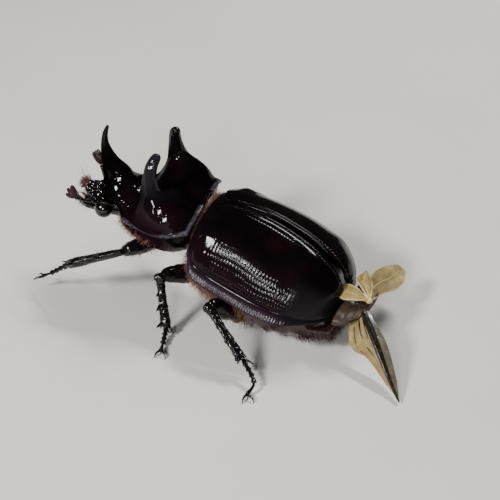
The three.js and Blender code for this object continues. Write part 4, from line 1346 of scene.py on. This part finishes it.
class Finish:
    """One surface: tones, pores and shine, with extra colours where the skin is marked."""

    def __init__(self, name, colour, tint, share=0.5, tone_scale=0.5, shine=(0.1, 0.2), pits=2.0, grain=8.0,
            grain_share=0.3, depth=0.02, coat=0.0, coat_roughness=0.05, specular=0.5, alpha=1.0, sheen=0.0):
        self.material = bpy.data.materials.new(name)
        self.material.use_nodes = True
        self.tree = self.material.node_tree
        self.tree.nodes.clear()
        out = node(self.tree, "ShaderNodeOutputMaterial")
        self.shader = node(self.tree, "ShaderNodeBsdfPrincipled", {"IOR": 1.56, "Specular IOR Level": specular,
            "Coat Weight": coat, "Coat Roughness": coat_roughness, "Alpha": alpha, "Sheen Weight": sheen})
        self.tree.links.new(self.shader.outputs[0], out.inputs[0])
        tones = self.placed("cuticle tone", {"Colour": (*colour, 1), "Tint": (*tint, 1), "Share": share,
            "Scale": tone_scale})
        self.colour = tones.outputs[0]
        self.roughness = self.placed("rubbed shine", {"Bright": shine[0], "Dull": shine[1]}).outputs[0]
        pores = self.placed("cuticle pores", {"Pits": pits, "Grain": grain, "Grain Share": grain_share})
        self.bump = node(self.tree, "ShaderNodeBump", {"Height": pores.outputs[0], "Distance": depth * MM,
            "Strength": 1.0})

    def placed(self, name, inputs):
        made = self.tree.nodes.new("ShaderNodeGroup")
        made.node_tree = bpy.data.node_groups[name]
        for key, value in inputs.items():
            made.inputs[key].default_value = value
        return made

    def mark(self, key):
        return node(self.tree, "ShaderNodeAttribute", attribute_name=key).outputs["Fac"]

    def tinted(self, key, colour, amount=1.0):
        """Turns the colour where the skin carries a mark."""
        share = node(self.tree, "ShaderNodeMath", {0: self.mark(key), 1: amount}, operation="MULTIPLY")
        blend = node(self.tree, "ShaderNodeMix", {"Factor": share.outputs[0]}, data_type="RGBA")
        self.tree.links.new(self.colour, blend.inputs[6])
        blend.inputs[7].default_value = (*colour, 1)
        self.colour = blend.outputs[2]
        return self

    def dulled(self, key, roughness, amount=1.0):
        """Changes the shine where the skin carries a mark."""
        share = node(self.tree, "ShaderNodeMath", {0: self.mark(key), 1: amount}, operation="MULTIPLY")
        blend = node(self.tree, "ShaderNodeMix", {"Factor": share.outputs[0]}, data_type="FLOAT")
        self.tree.links.new(self.roughness, blend.inputs[2])
        blend.inputs[3].default_value = roughness
        self.roughness = blend.outputs[0]
        return self

    def bared(self, key, amount=1.0):
        """Takes the gloss off where the skin carries a mark."""
        weight = self.shader.inputs["Coat Weight"]
        kept = node(self.tree, "ShaderNodeMapRange", {"Value": self.mark(key), "To Min": weight.default_value,
            "To Max": weight.default_value * (1 - amount)})
        self.tree.links.new(kept.outputs[0], weight)
        return self

    def done(self):
        self.tree.links.new(self.colour, self.shader.inputs["Base Color"])
        self.tree.links.new(self.roughness, self.shader.inputs["Roughness"])
        self.tree.links.new(self.bump.outputs[0], self.shader.inputs["Normal"])
        return self.material


# ---------------------------------------------------------------- settings a user would change


def colour_property(name, description, default):
    return FloatVectorProperty(name=name, description=description, default=default, subtype="COLOR", size=3,
        min=0, max=1)


class BeetleSizes(bpy.types.PropertyGroup):
    case_thickness: FloatProperty(name="Wing case thickness", description="Thickness of each wing case",
        default=0.0006, unit="LENGTH")
    hair_length: FloatProperty(name="Hair length", description="Length of all hair against its natural length",
        default=1.0, min=0.1, max=3.0, subtype="FACTOR")
    hair_count: FloatProperty(name="Hair amount", description="Number of hairs against the natural number",
        default=1.0, min=0.01, max=3.0, subtype="FACTOR")
    seed: IntProperty(name="Seed", description="Changes where the hairs fall", default=7)


class BeetleColours(bpy.types.PropertyGroup):
    shell: colour_property("Shell", "The glossy horn of the wing cases and shield", (0.0018, 0.001, 0.0014))
    shell_tint: colour_property("Shell tint", "The red-brown that shows through it", (0.0065, 0.0021, 0.0028))
    # flank colour: the purple-brown of the sides; on the shield it is partly a painted sheen
    flank: colour_property("Flank", "The purple-brown of the shield's swollen sides", (0.02, 0.0075, 0.013))
    # horn colour: a painted sheen, the greyer tint laid towards the horn tips
    horn: colour_property("Horn tips", "The greyer horn towards the tips", (0.016, 0.013, 0.017))
    apex: colour_property("Dull end", "The rubbed rear of the wing cases", (0.009, 0.0085, 0.0095))
    # edge colour: a painted highlight, the pale tint along the wing cases' outer rim
    edge: colour_property("Case edge", "The rubbed rim of the wing cases", (0.024, 0.013, 0.022))
    # bead colour: a painted glint, the pale tint laid along the shield's rim bead
    bead: colour_property("Shield rim", "The rubbed bead round the shield", (0.075, 0.068, 0.085))
    leg: colour_property("Legs", "The legs", (0.004, 0.0022, 0.0025))
    eye: colour_property("Eyes", "The eyes", (0.006, 0.003, 0.0025))
    feeler: colour_property("Feelers", "The feelers and palps", (0.014, 0.0042, 0.0034))
    joint_skin: colour_property("Joint skin", "The soft skin between the plates", (0.05, 0.02, 0.012))
    abdomen: colour_property("Abdomen", "The sides of the abdomen", (0.02, 0.0065, 0.006))
    tail: colour_property("Tail plate", "The last plate of the abdomen", (0.055, 0.037, 0.026))
    wing: colour_property("Wing film", "The folded hind wings", (0.36, 0.26, 0.092))
    vein: colour_property("Wing veins", "The stiff veins of the hind wings", (0.02, 0.013, 0.009))
    hair: colour_property("Hair", "The soft hair under the body", (0.15, 0.062, 0.03))
    mouth_hair: colour_property("Mouth hair", "The rosy hair of the mouth", (0.15, 0.05, 0.042))
    bristle: colour_property("Bristles", "The stiff dark bristles", (0.022, 0.0065, 0.006))
    floor: colour_property("Floor", "The floor", (0.63, 0.59, 0.55))


class BeetleStage(bpy.types.PropertyGroup):
    azimuth: FloatProperty(name="Azimuth", description="Where the camera stands round the animal",
        default=math.radians(118.302), subtype="ANGLE")
    elevation: FloatProperty(name="Elevation", description="How high the camera stands",
        default=math.radians(35.072), subtype="ANGLE")
    roll: FloatProperty(name="Roll", description="How far the camera leans", default=math.radians(1.239),
        subtype="ANGLE")
    distance: FloatProperty(name="Distance", description="From the camera to the animal", default=0.23,
        unit="LENGTH")
    lens: FloatProperty(name="Lens", description="Focal length in millimetres on a 36 mm sensor", default=95.77)
    key: FloatProperty(name="Key light", description="Power of the key light in watts", default=2.15)
    sky: FloatProperty(name="Surround", description="Brightness of the pale surround", default=0.07)


# ---------------------------------------------------------------- operators


def colours():
    return bpy.context.scene.beetle_colours


def thickened(obj, thickness):
    """Gives a sheet its wall, on the inner side."""
    wall = obj.modifiers.new("thickness", "SOLIDIFY")
    wall.thickness = thickness
    wall.offset = -1


def shell_finish(name, **changes):
    c = colours()
    settings = dict(share=0.35, tone_scale=0.22, shine=(0.05, 0.1), pits=1.5, grain=9.0, grain_share=0.25,
        depth=0.008, coat=0.0, coat_roughness=0.03, specular=0.11)
    settings.update(changes)
    return Finish(name, c.shell, c.shell_tint, **settings)


class BEETLE_OT_effects(bpy.types.Operator):
    """Builds the shared tone, pore and shine effects"""

    bl_idname = "beetle.effects"
    bl_label = "Effects"

    def execute(self, context):
        tone_group()
        pore_group()
        wear_group()
        return {"FINISHED"}


class BEETLE_OT_wing_cases(bpy.types.Operator):
    """Builds both wing cases and the small triangle between their bases"""

    bl_idname = "beetle.wing_cases"
    bl_label = "Wing cases"

    def execute(self, context):
        c = colours()
        finish = shell_finish("wing case horn").tinted("flank", c.flank, 0.22)
        # The edge tint is a painted highlight along the outer rim.
        finish.tinted("dull", c.apex, 0.75).tinted("edge", c.edge, 0.85)
        finish.dulled("dull", 0.42, 0.8).dulled("cells", 0.17, 0.8).dulled("rim", 0.2, 0.95)
        material = finish.done()
        mesh, marks = wing_case_skin()
        write_points(mesh, swung(read_points(mesh)))
        for name, skin in (("left", mesh), ("right", mirrored(mesh))):
            case = piece(f"wing_case_{name}", skin, BODY, material, "shell", [f"elytron_{name}"], 60, marks)
            thickened(case, context.scene.beetle_sizes.case_thickness)
        dull = shell_finish("triangle horn", shine=(0.15, 0.25), pits=3.0, depth=0.02, specular=0.04).done()
        triangle = piece("wing_base_triangle", scutellum_skin(), BODY, dull, "shell", ["scutellum"], 60)
        thickened(triangle, TRIANGLE_THICKNESS)
        return {"FINISHED"}


class BEETLE_OT_pronotum(bpy.types.Operator):
    """Builds the shield of the fore body with its three horns as one skin"""

    bl_idname = "beetle.pronotum"
    bl_label = "Pronotum and horns"

    def execute(self, context):
        c = colours()
        finish = shell_finish("shield horn", depth=0.0015, coat=0.34, coat_roughness=0.06, specular=0.0)
        # On the shield the flank tint is partly a painted sheen.
        # The sheen tint is a painted sheen towards the horn tips.
        finish.tinted("flank", c.flank, 0.6).tinted("sheen", c.horn, 0.8).dulled("sheen", 0.24, 0.7)
        finish.tinted("below", c.shell_tint, 0.8).dulled("below", 0.3, 0.8)
        # The bead tint is a painted glint along the shield's rim bead.
        finish.tinted("bead", c.bead, 0.85).bared("matt", 1.0)
        mesh, marks = pronotum_skin()
        nodes = ["pronotum", "horn_front", "horn_left", "horn_right"]
        piece("pronotum_and_horns", mesh, FORE, finish.done(), "shell", nodes, 70, marks)
        return {"FINISHED"}


class BEETLE_OT_head(bpy.types.Operator):
    """Builds the head, eyes, feelers and mouth"""

    bl_idname = "beetle.head"
    bl_label = "Head"

    def execute(self, context):
        c = colours()
        horn = shell_finish("head horn", shine=(0.06, 0.12), pits=3.2, depth=0.01, specular=0.3, coat=0.6)
        horn.tinted("tip", c.shell_tint, 0.4)
        mesh, marks = head_skin()
        piece("head_skin", mesh, FORE, horn.done(), "head_shell", ["head"], 70, marks)
        eye = Finish("eye lens", c.eye, faded(c.eye, 0.4), shine=(0.1, 0.14), pits=11.0, grain=20.0,
            grain_share=0.1, depth=0.004, coat=0.5, coat_roughness=0.13, specular=0.25)
        lens = eye.done()
        for name, side in (("left", 1), ("right", -1)):
            globe = ball((side * EYE_AT[0], *EYE_AT[1:]), EYE_RADII, 80, 60)
            piece(f"eye_lens_{name}", globe, FORE, lens, "eyes", [f"eye_{name}"], 180)
        feeler = Finish("feeler horn", c.feeler, faded(c.feeler, 0.35), share=0.4, tone_scale=0.9,
            shine=(0.2, 0.35), pits=6.0, depth=0.01, specular=0.2).done()
        for name in ("left", "right"):
            piece(f"feeler_{name}", feeler_skin(name), FORE, feeler, "feelers", [f"antenna_{name}"])
        mouth = Finish("mouth horn", faded(c.feeler, 0.5), c.shell, share=0.5, tone_scale=0.6,
            shine=(0.18, 0.32), pits=4.0, depth=0.015, coat=0.2).done()
        piece("mouth_skin", mouth_skin(), FORE, mouth, "mouth", ["mouthparts"])
        return {"FINISHED"}


class BEETLE_OT_underside(bpy.types.Operator):
    """Builds the breast, neck, abdomen and tail plate"""

    bl_idname = "beetle.underside"
    bl_label = "Underside"

    def execute(self, context):
        c = colours()
        soft = tuple(c.joint_skin)
        breast = Finish("breast skin", soft, faded(soft, 0.45), share=0.45, tone_scale=0.5,
            shine=(0.35, 0.5), pits=3.0, depth=0.05)
        breast.tinted("plate", c.shell_tint, 0.92).dulled("plate", 0.2, 0.9)
        mesh, marks = breast_skin()
        piece("breast_skin", mesh, BODY, breast.done(), "breast", ["thorax"], 60, marks)
        neck = Finish("neck skin", faded(soft, 1.15), faded(soft, 0.6), tone_scale=0.7,
            shine=(0.4, 0.55), pits=3.0, depth=0.06).done()
        piece("neck_skin", neck_skin(), BODY, neck, "breast", ["neck"], 60)
        belly = Finish("abdomen skin", c.abdomen, faded(c.abdomen, 0.4), share=0.4, tone_scale=0.45,
            shine=(0.2, 0.34), pits=3.0, depth=0.03, coat=0.15)
        belly.tinted("belly", c.shell_tint, 0.6).tinted("joint", faded(soft, 0.7), 0.6)
        piece("abdomen_skin", abdomen_skin(), BODY, belly.done(), "abdomen", ["abdomen"], 60)
        tail = Finish("tail plate horn", c.tail, faded(c.tail, 0.35), share=0.45, tone_scale=0.5,
            shine=(0.4, 0.52), pits=4.0, depth=0.008, specular=0.25).done()
        piece("tail_plate", pygidium_skin(), BODY, tail, "pygidium", ["pygidium"], 60)
        return {"FINISHED"}


class BEETLE_OT_legs(bpy.types.Operator):
    """Builds the six legs"""

    bl_idname = "beetle.legs"
    bl_label = "Legs"

    def execute(self, context):
        c = colours()
        horn = Finish("leg horn", c.leg, c.shell_tint, share=0.35, tone_scale=0.5, shine=(0.08, 0.14), pits=2.2,
            depth=0.006, specular=0.3).done()
        for leg in LEGS:
            mesh = joined([femur_skin(leg), shin_skin(leg), foot_skin(leg)])
            nodes = [f"{part}_{leg.name}" for part in ("femur", "tibia", "tarsus")]
            piece(f"leg_{leg.name}", mesh, STANDING, horn, "legs", nodes, 60)
        return {"FINISHED"}


class BEETLE_OT_wings(bpy.types.Operator):
    """Builds the hind wings that show behind the wing cases"""

    bl_idname = "beetle.wings"
    bl_label = "Hind wings"

    def execute(self, context):
        c = colours()
        film_finish = Finish("wing film", c.wing, faded(c.wing, 0.55), share=0.5, tone_scale=0.6,
            shine=(0.35, 0.5), pits=1.2, grain=4.0, grain_share=0.8,
            depth=0.09, specular=0.2, alpha=0.84).done()
        vein = Finish("wing vein horn", c.vein, faded(c.vein, 0.25), share=0.5, tone_scale=0.5,
            shine=(0.15, 0.25), pits=3.0, depth=0.02, specular=0.25).done()
        dark_film = Finish("folded film", (0.13, 0.11, 0.065), (0.05, 0.04, 0.03), share=0.5, tone_scale=0.6,
            shine=(0.12, 0.25), pits=1.2, grain=5.0, grain_share=0.6, depth=0.04, coat=0.3, alpha=0.92).done()
        pale = Finish("pale vein horn", faded(c.wing, 1.5), c.wing, share=0.5, tone_scale=0.5,
            shine=(0.2, 0.3), pits=3.0, depth=0.02, coat=0.2).done()
        wings = (("left", vein, left_wing_skins()), ("right", pale, right_wing_skins()))
        for name, ribs_finish, (webs, ribs) in wings:
            strip = webs.pop() if name == "left" else None
            piece(f"wing_film_{name}", joined(webs), STANDING, film_finish, "wings", [f"wing_{name}"])
            if strip:
                piece("wing_film_folded", strip, STANDING, dark_film, "wings")
            piece(f"wing_veins_{name}", joined(ribs), STANDING, ribs_finish, "wings")
        return {"FINISHED"}


class BEETLE_OT_hair(bpy.types.Operator):
    """Sows the hair and bristles as solid tufts"""

    bl_idname = "beetle.hair"
    bl_label = "Hair"

    def execute(self, context):
        c = colours()
        soft = Finish("soft hair", faded(c.hair, 0.4), faded(c.hair, 0.25), share=0.4,
            tone_scale=0.9, shine=(0.35, 0.5), depth=0.001, sheen=0.1)
        soft = soft.tinted("strand", faded(c.hair, 1.5), 0.9).done()
        stiff = Finish("bristle horn", c.bristle, faded(c.bristle, 0.5), shine=(0.25, 0.35),
            depth=0.001).tinted("strand", faded(c.hair, 0.5), 0.35).done()
        rosy = Finish("mouth hair", c.mouth_hair, faded(c.mouth_hair, 0.5), shine=(0.35, 0.5),
            depth=0.001).done()
        out = lambda p, n: n * (1, 1, 0.3) + (0, 0.35, -0.25)
        breast = breast_core()
        side = lambda p, n: (ease(np.abs(p[:, 0]), 6.5, 9.0) * ease(-p[:, 2], 1.0, 2.4)
            * (1 - ease(-p[:, 2], 5.5, 7.5)) * ease(p[:, 1], -0.9, 0.5))
        belly = abdomen_skin()
        hip = lambda p, n: ease(np.abs(p[:, 0]), 6.5, 8.0) * hill(p[:, 1], 10.5, 1.8) * ease(-p[:, 2], 2.5, 4)
        fore = lambda p, n: (ease(np.abs(p[:, 0]), 5.5, 8.0) * ease(-p[:, 2], 0.5, 2.0)
            * (1 - ease(-p[:, 2], 5.0, 7.0)) * (1 - ease(p[:, 1], 2.0, 4.0)))
        ahead = lambda p, n: n + (0, -0.5, -0.1)
        coat("breast_hair", [Bed(breast, side, 3400, 2.1, 0.05, out, 0.45, 0.5),
            Bed(breast, fore, 500, 1.5, 0.05, ahead, 0.4, 0.3),
            Bed(belly, hip, 1200, 1.9, 0.05, out, 0.5, 0.5)], BODY, soft, "breast")
        rows = lambda p, n: (ease(-n[:, 2], -0.2, 0.4) * hill(((p[:, 1] - 8.5) / 3.04) % 1.0, 0.72, 0.12)
            * ease(p[:, 1], 10, 12))
        comb = lambda p, n: ease(p[:, 1], 20.5, 23.5) * ease(-n[:, 2], -0.3, 0.2) * ease(-p[:, 2], 3.2, 4.4)
        rear = lambda p, n: n * 0.5 + (0, 0.9, -0.5)
        coat("abdomen_bristles", [Bed(belly, rows, 900, 0.8, 0.03, rear, 0.3, 0.3),
            Bed(belly, comb, 1700, 1.7, 0.035, rear, 0.35, 0.3)], BODY, stiff, "abdomen")
        neck = neck_skin()
        gap = lambda p, n: hill(p[:, 1], -0.9, 0.8) * ease(n[:, 2], -0.8, -0.2)
        back = lambda p, n: n + (0, 0.5, 0)
        coat("neck_hair", [Bed(neck, gap, 1600, 1.5, 0.03, back, 0.6, 0.2)], BODY, soft, "breast")
        shield = prothorax_skin(90, 80)
        under = lambda p, n: (ease(-n[:, 2], 0.1, 0.5) * ease(np.abs(p[:, 0]), 3.5, 5.5)
            * ease(p[:, 1], -14, -11.5))
        corner = lambda p, n: (ease(-n[:, 1], 0.0, 0.4) * ease(np.abs(p[:, 0]), 3.0, 4.5)
            * (1 - ease(p[:, 2], -1.5, 0)))
        mouth = mouth_skin()
        lips = lambda p, n: ease(-p[:, 1], 20.6, 22.5)
        front = lambda p, n: n * 0.4 + (0, -1, 0.1)
        galea = ball((-1.5, -22.6, -2.0), (0.7, 0.8, 0.5), 20, 16)
        tuft = lambda p, n: vec(-0.25, -0.8, 0.45) + 0.6 * n
        coat("mouth_tuft", [
            Bed(galea, lambda p, n: ease(-n[:, 1], -0.2, 0.4), 380, 1.5, 0.028, tuft, 0.2, 0.0, 0.2),
            Bed(galea, lambda p, n: ease(-n[:, 1], 0, 0.5), 14, 3.4, 0.03, tuft, 0.2, 0.0, 0.15),
        ], FORE, rosy, "mouth")
        coat("fore_hair", [Bed(shield, under, 130, 1.0, 0.03, out, 0.5, 0.5),
            Bed(shield, corner, 600, 1.2, 0.03, lambda p, n: n + (0, -0.3, -0.5), 0.6, 0.4),
            Bed(mouth, lips, 420, 1.2, 0.03, front, 0.4, 0.0, 0.3)], FORE, soft, "mouth")
        beds = []
        for leg in LEGS:
            low = lambda p, n: ease(-n[:, 2], 0.1, 0.6) + 0.15
            beds.append(Bed(femur_skin(leg), low, 70, 0.8, 0.028,
                lambda p, n, a=unit(leg.knee - leg.hip): n * 0.7 + a * 0.5, 0.5, 0.2))
            shin = shin_skin(leg)
            beds.append(Bed(shin, lambda p, n: np.ones(len(p)), 70, 0.6, 0.028,
                lambda p, n, f=leg.forward: n * 0.6 + f, 0.4, 0.0))
            foot = foot_skin(leg)
            beds.append(Bed(foot, lambda p, n: ease(p[:, 2], 0.25, 0.5), 36, 0.4, 0.022,
                lambda p, n, f=unit(leg.toe - leg.ankle): n * 0.5 + f, 0.4, 0.0))
        coat("leg_bristles", beds, STANDING, stiff, "legs")
        return {"FINISHED"}


LAMP_DISTANCE = 0.42
LAMPS = (
    ("key", (0.74, -0.28, 0.61), (0.08, 0.08), 1.0),
    ("second", (0.86, 0.27, 0.43), (0.07, 0.07), 0.4),
    ("back", (-0.60, 0.12, 0.79), (0.28, 0.03), 0.85),
)


class BEETLE_OT_stage(bpy.types.Operator):
    """Lays the floor, hangs the lights and sets the camera"""

    bl_idname = "beetle.stage"
    bl_label = "Stage"

    def execute(self, context):
        settings = context.scene.beetle_stage
        c = colours()
        bm = bmesh.new()
        bmesh.ops.create_grid(bm, x_segments=1, y_segments=1, size=2.0)
        floor = bpy.data.objects.new("floor", mesh_from(bm, "floor"))
        context.scene.collection.objects.link(floor)
        pale = tuple(c.floor)
        finish = Finish("pale floor", pale, faded(pale, 0.96), tone_scale=0.03, shine=(0.75, 0.85),
            pits=0.5, grain=2.0, depth=0.002)
        floor.data.materials.append(finish.done())
        floor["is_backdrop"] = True
        target = STANDING @ Vector((-0.85, 6.631, 10)) * MM
        self.camera(context, settings, target)
        for name, direction, size, share in LAMPS:
            self.light(context, name, target, direction, size, share * settings.key)
        world = bpy.data.worlds.new("pale surround")
        context.scene.world = world
        world.use_nodes = True
        back = world.node_tree.nodes["Background"]
        back.inputs["Color"].default_value = (0.9, 0.95, 1.0, 1)
        back.inputs["Strength"].default_value = settings.sky
        return {"FINISHED"}

    def camera(self, context, settings, target):
        turn = Matrix.Rotation(settings.azimuth, 4, "Z") @ Matrix.Rotation(PI / 2 - settings.elevation, 4, "X")
        lean = turn @ Matrix.Rotation(settings.roll, 4, "Z")
        back = turn.to_3x3() @ Vector((0, 0, 1))
        data = bpy.data.cameras.new("camera")
        data.lens = settings.lens
        data.sensor_width = 36
        data.clip_start = 0.01
        camera = bpy.data.objects.new("camera", data)
        camera.matrix_world = Matrix.Translation(target + back * settings.distance) @ lean
        context.scene.collection.objects.link(camera)
        context.scene.camera = camera

    def light(self, context, name, target, direction, size, power_watts):
        data = bpy.data.lights.new(name, "AREA")
        data.shape = "ELLIPSE"
        data.size, data.size_y = size
        data.energy = power_watts
        lamp = bpy.data.objects.new(name, data)
        away = Vector(direction).normalized()
        lamp.location = target + away * LAMP_DISTANCE
        lamp.rotation_euler = away.to_track_quat("Z", "Y").to_euler()
        context.scene.collection.objects.link(lamp)


OPERATORS = (BEETLE_OT_effects, BEETLE_OT_wing_cases, BEETLE_OT_pronotum, BEETLE_OT_head, BEETLE_OT_underside,
    BEETLE_OT_legs, BEETLE_OT_wings, BEETLE_OT_hair, BEETLE_OT_stage)


class BEETLE_PT_panel(bpy.types.Panel):
    """Lists the settings and the steps in order"""

    bl_idname = "BEETLE_PT_panel"
    bl_label = "Rhinoceros beetle"
    bl_space_type = "VIEW_3D"
    bl_region_type = "UI"
    bl_category = "Beetle"

    def draw(self, context):
        for settings in (context.scene.beetle_sizes, context.scene.beetle_colours, context.scene.beetle_stage):
            box = self.layout.box()
            for key in settings.__annotations__:
                box.prop(settings, key)
        for operator in OPERATORS:
            self.layout.operator(operator.bl_idname)


SETTINGS = {"beetle_sizes": BeetleSizes, "beetle_colours": BeetleColours, "beetle_stage": BeetleStage}


def register():
    for cls in (*SETTINGS.values(), *OPERATORS, BEETLE_PT_panel):
        bpy.utils.register_class(cls)
    for key, cls in SETTINGS.items():
        setattr(bpy.types.Scene, key, PointerProperty(type=cls))


def unregister():
    for key in SETTINGS:
        delattr(bpy.types.Scene, key)
    for cls in reversed((*SETTINGS.values(), *OPERATORS, BEETLE_PT_panel)):
        bpy.utils.unregister_class(cls)


def main():
    register()
    for operator in OPERATORS:
        step = getattr(bpy.ops.beetle, operator.bl_idname.split(".")[1])
        step()
    sizes = {"cad_box": [list(corner) for corner in CAD_BOX], "visual_box": [list(corner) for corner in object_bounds()]}


if __name__ == "__main__":
    main()
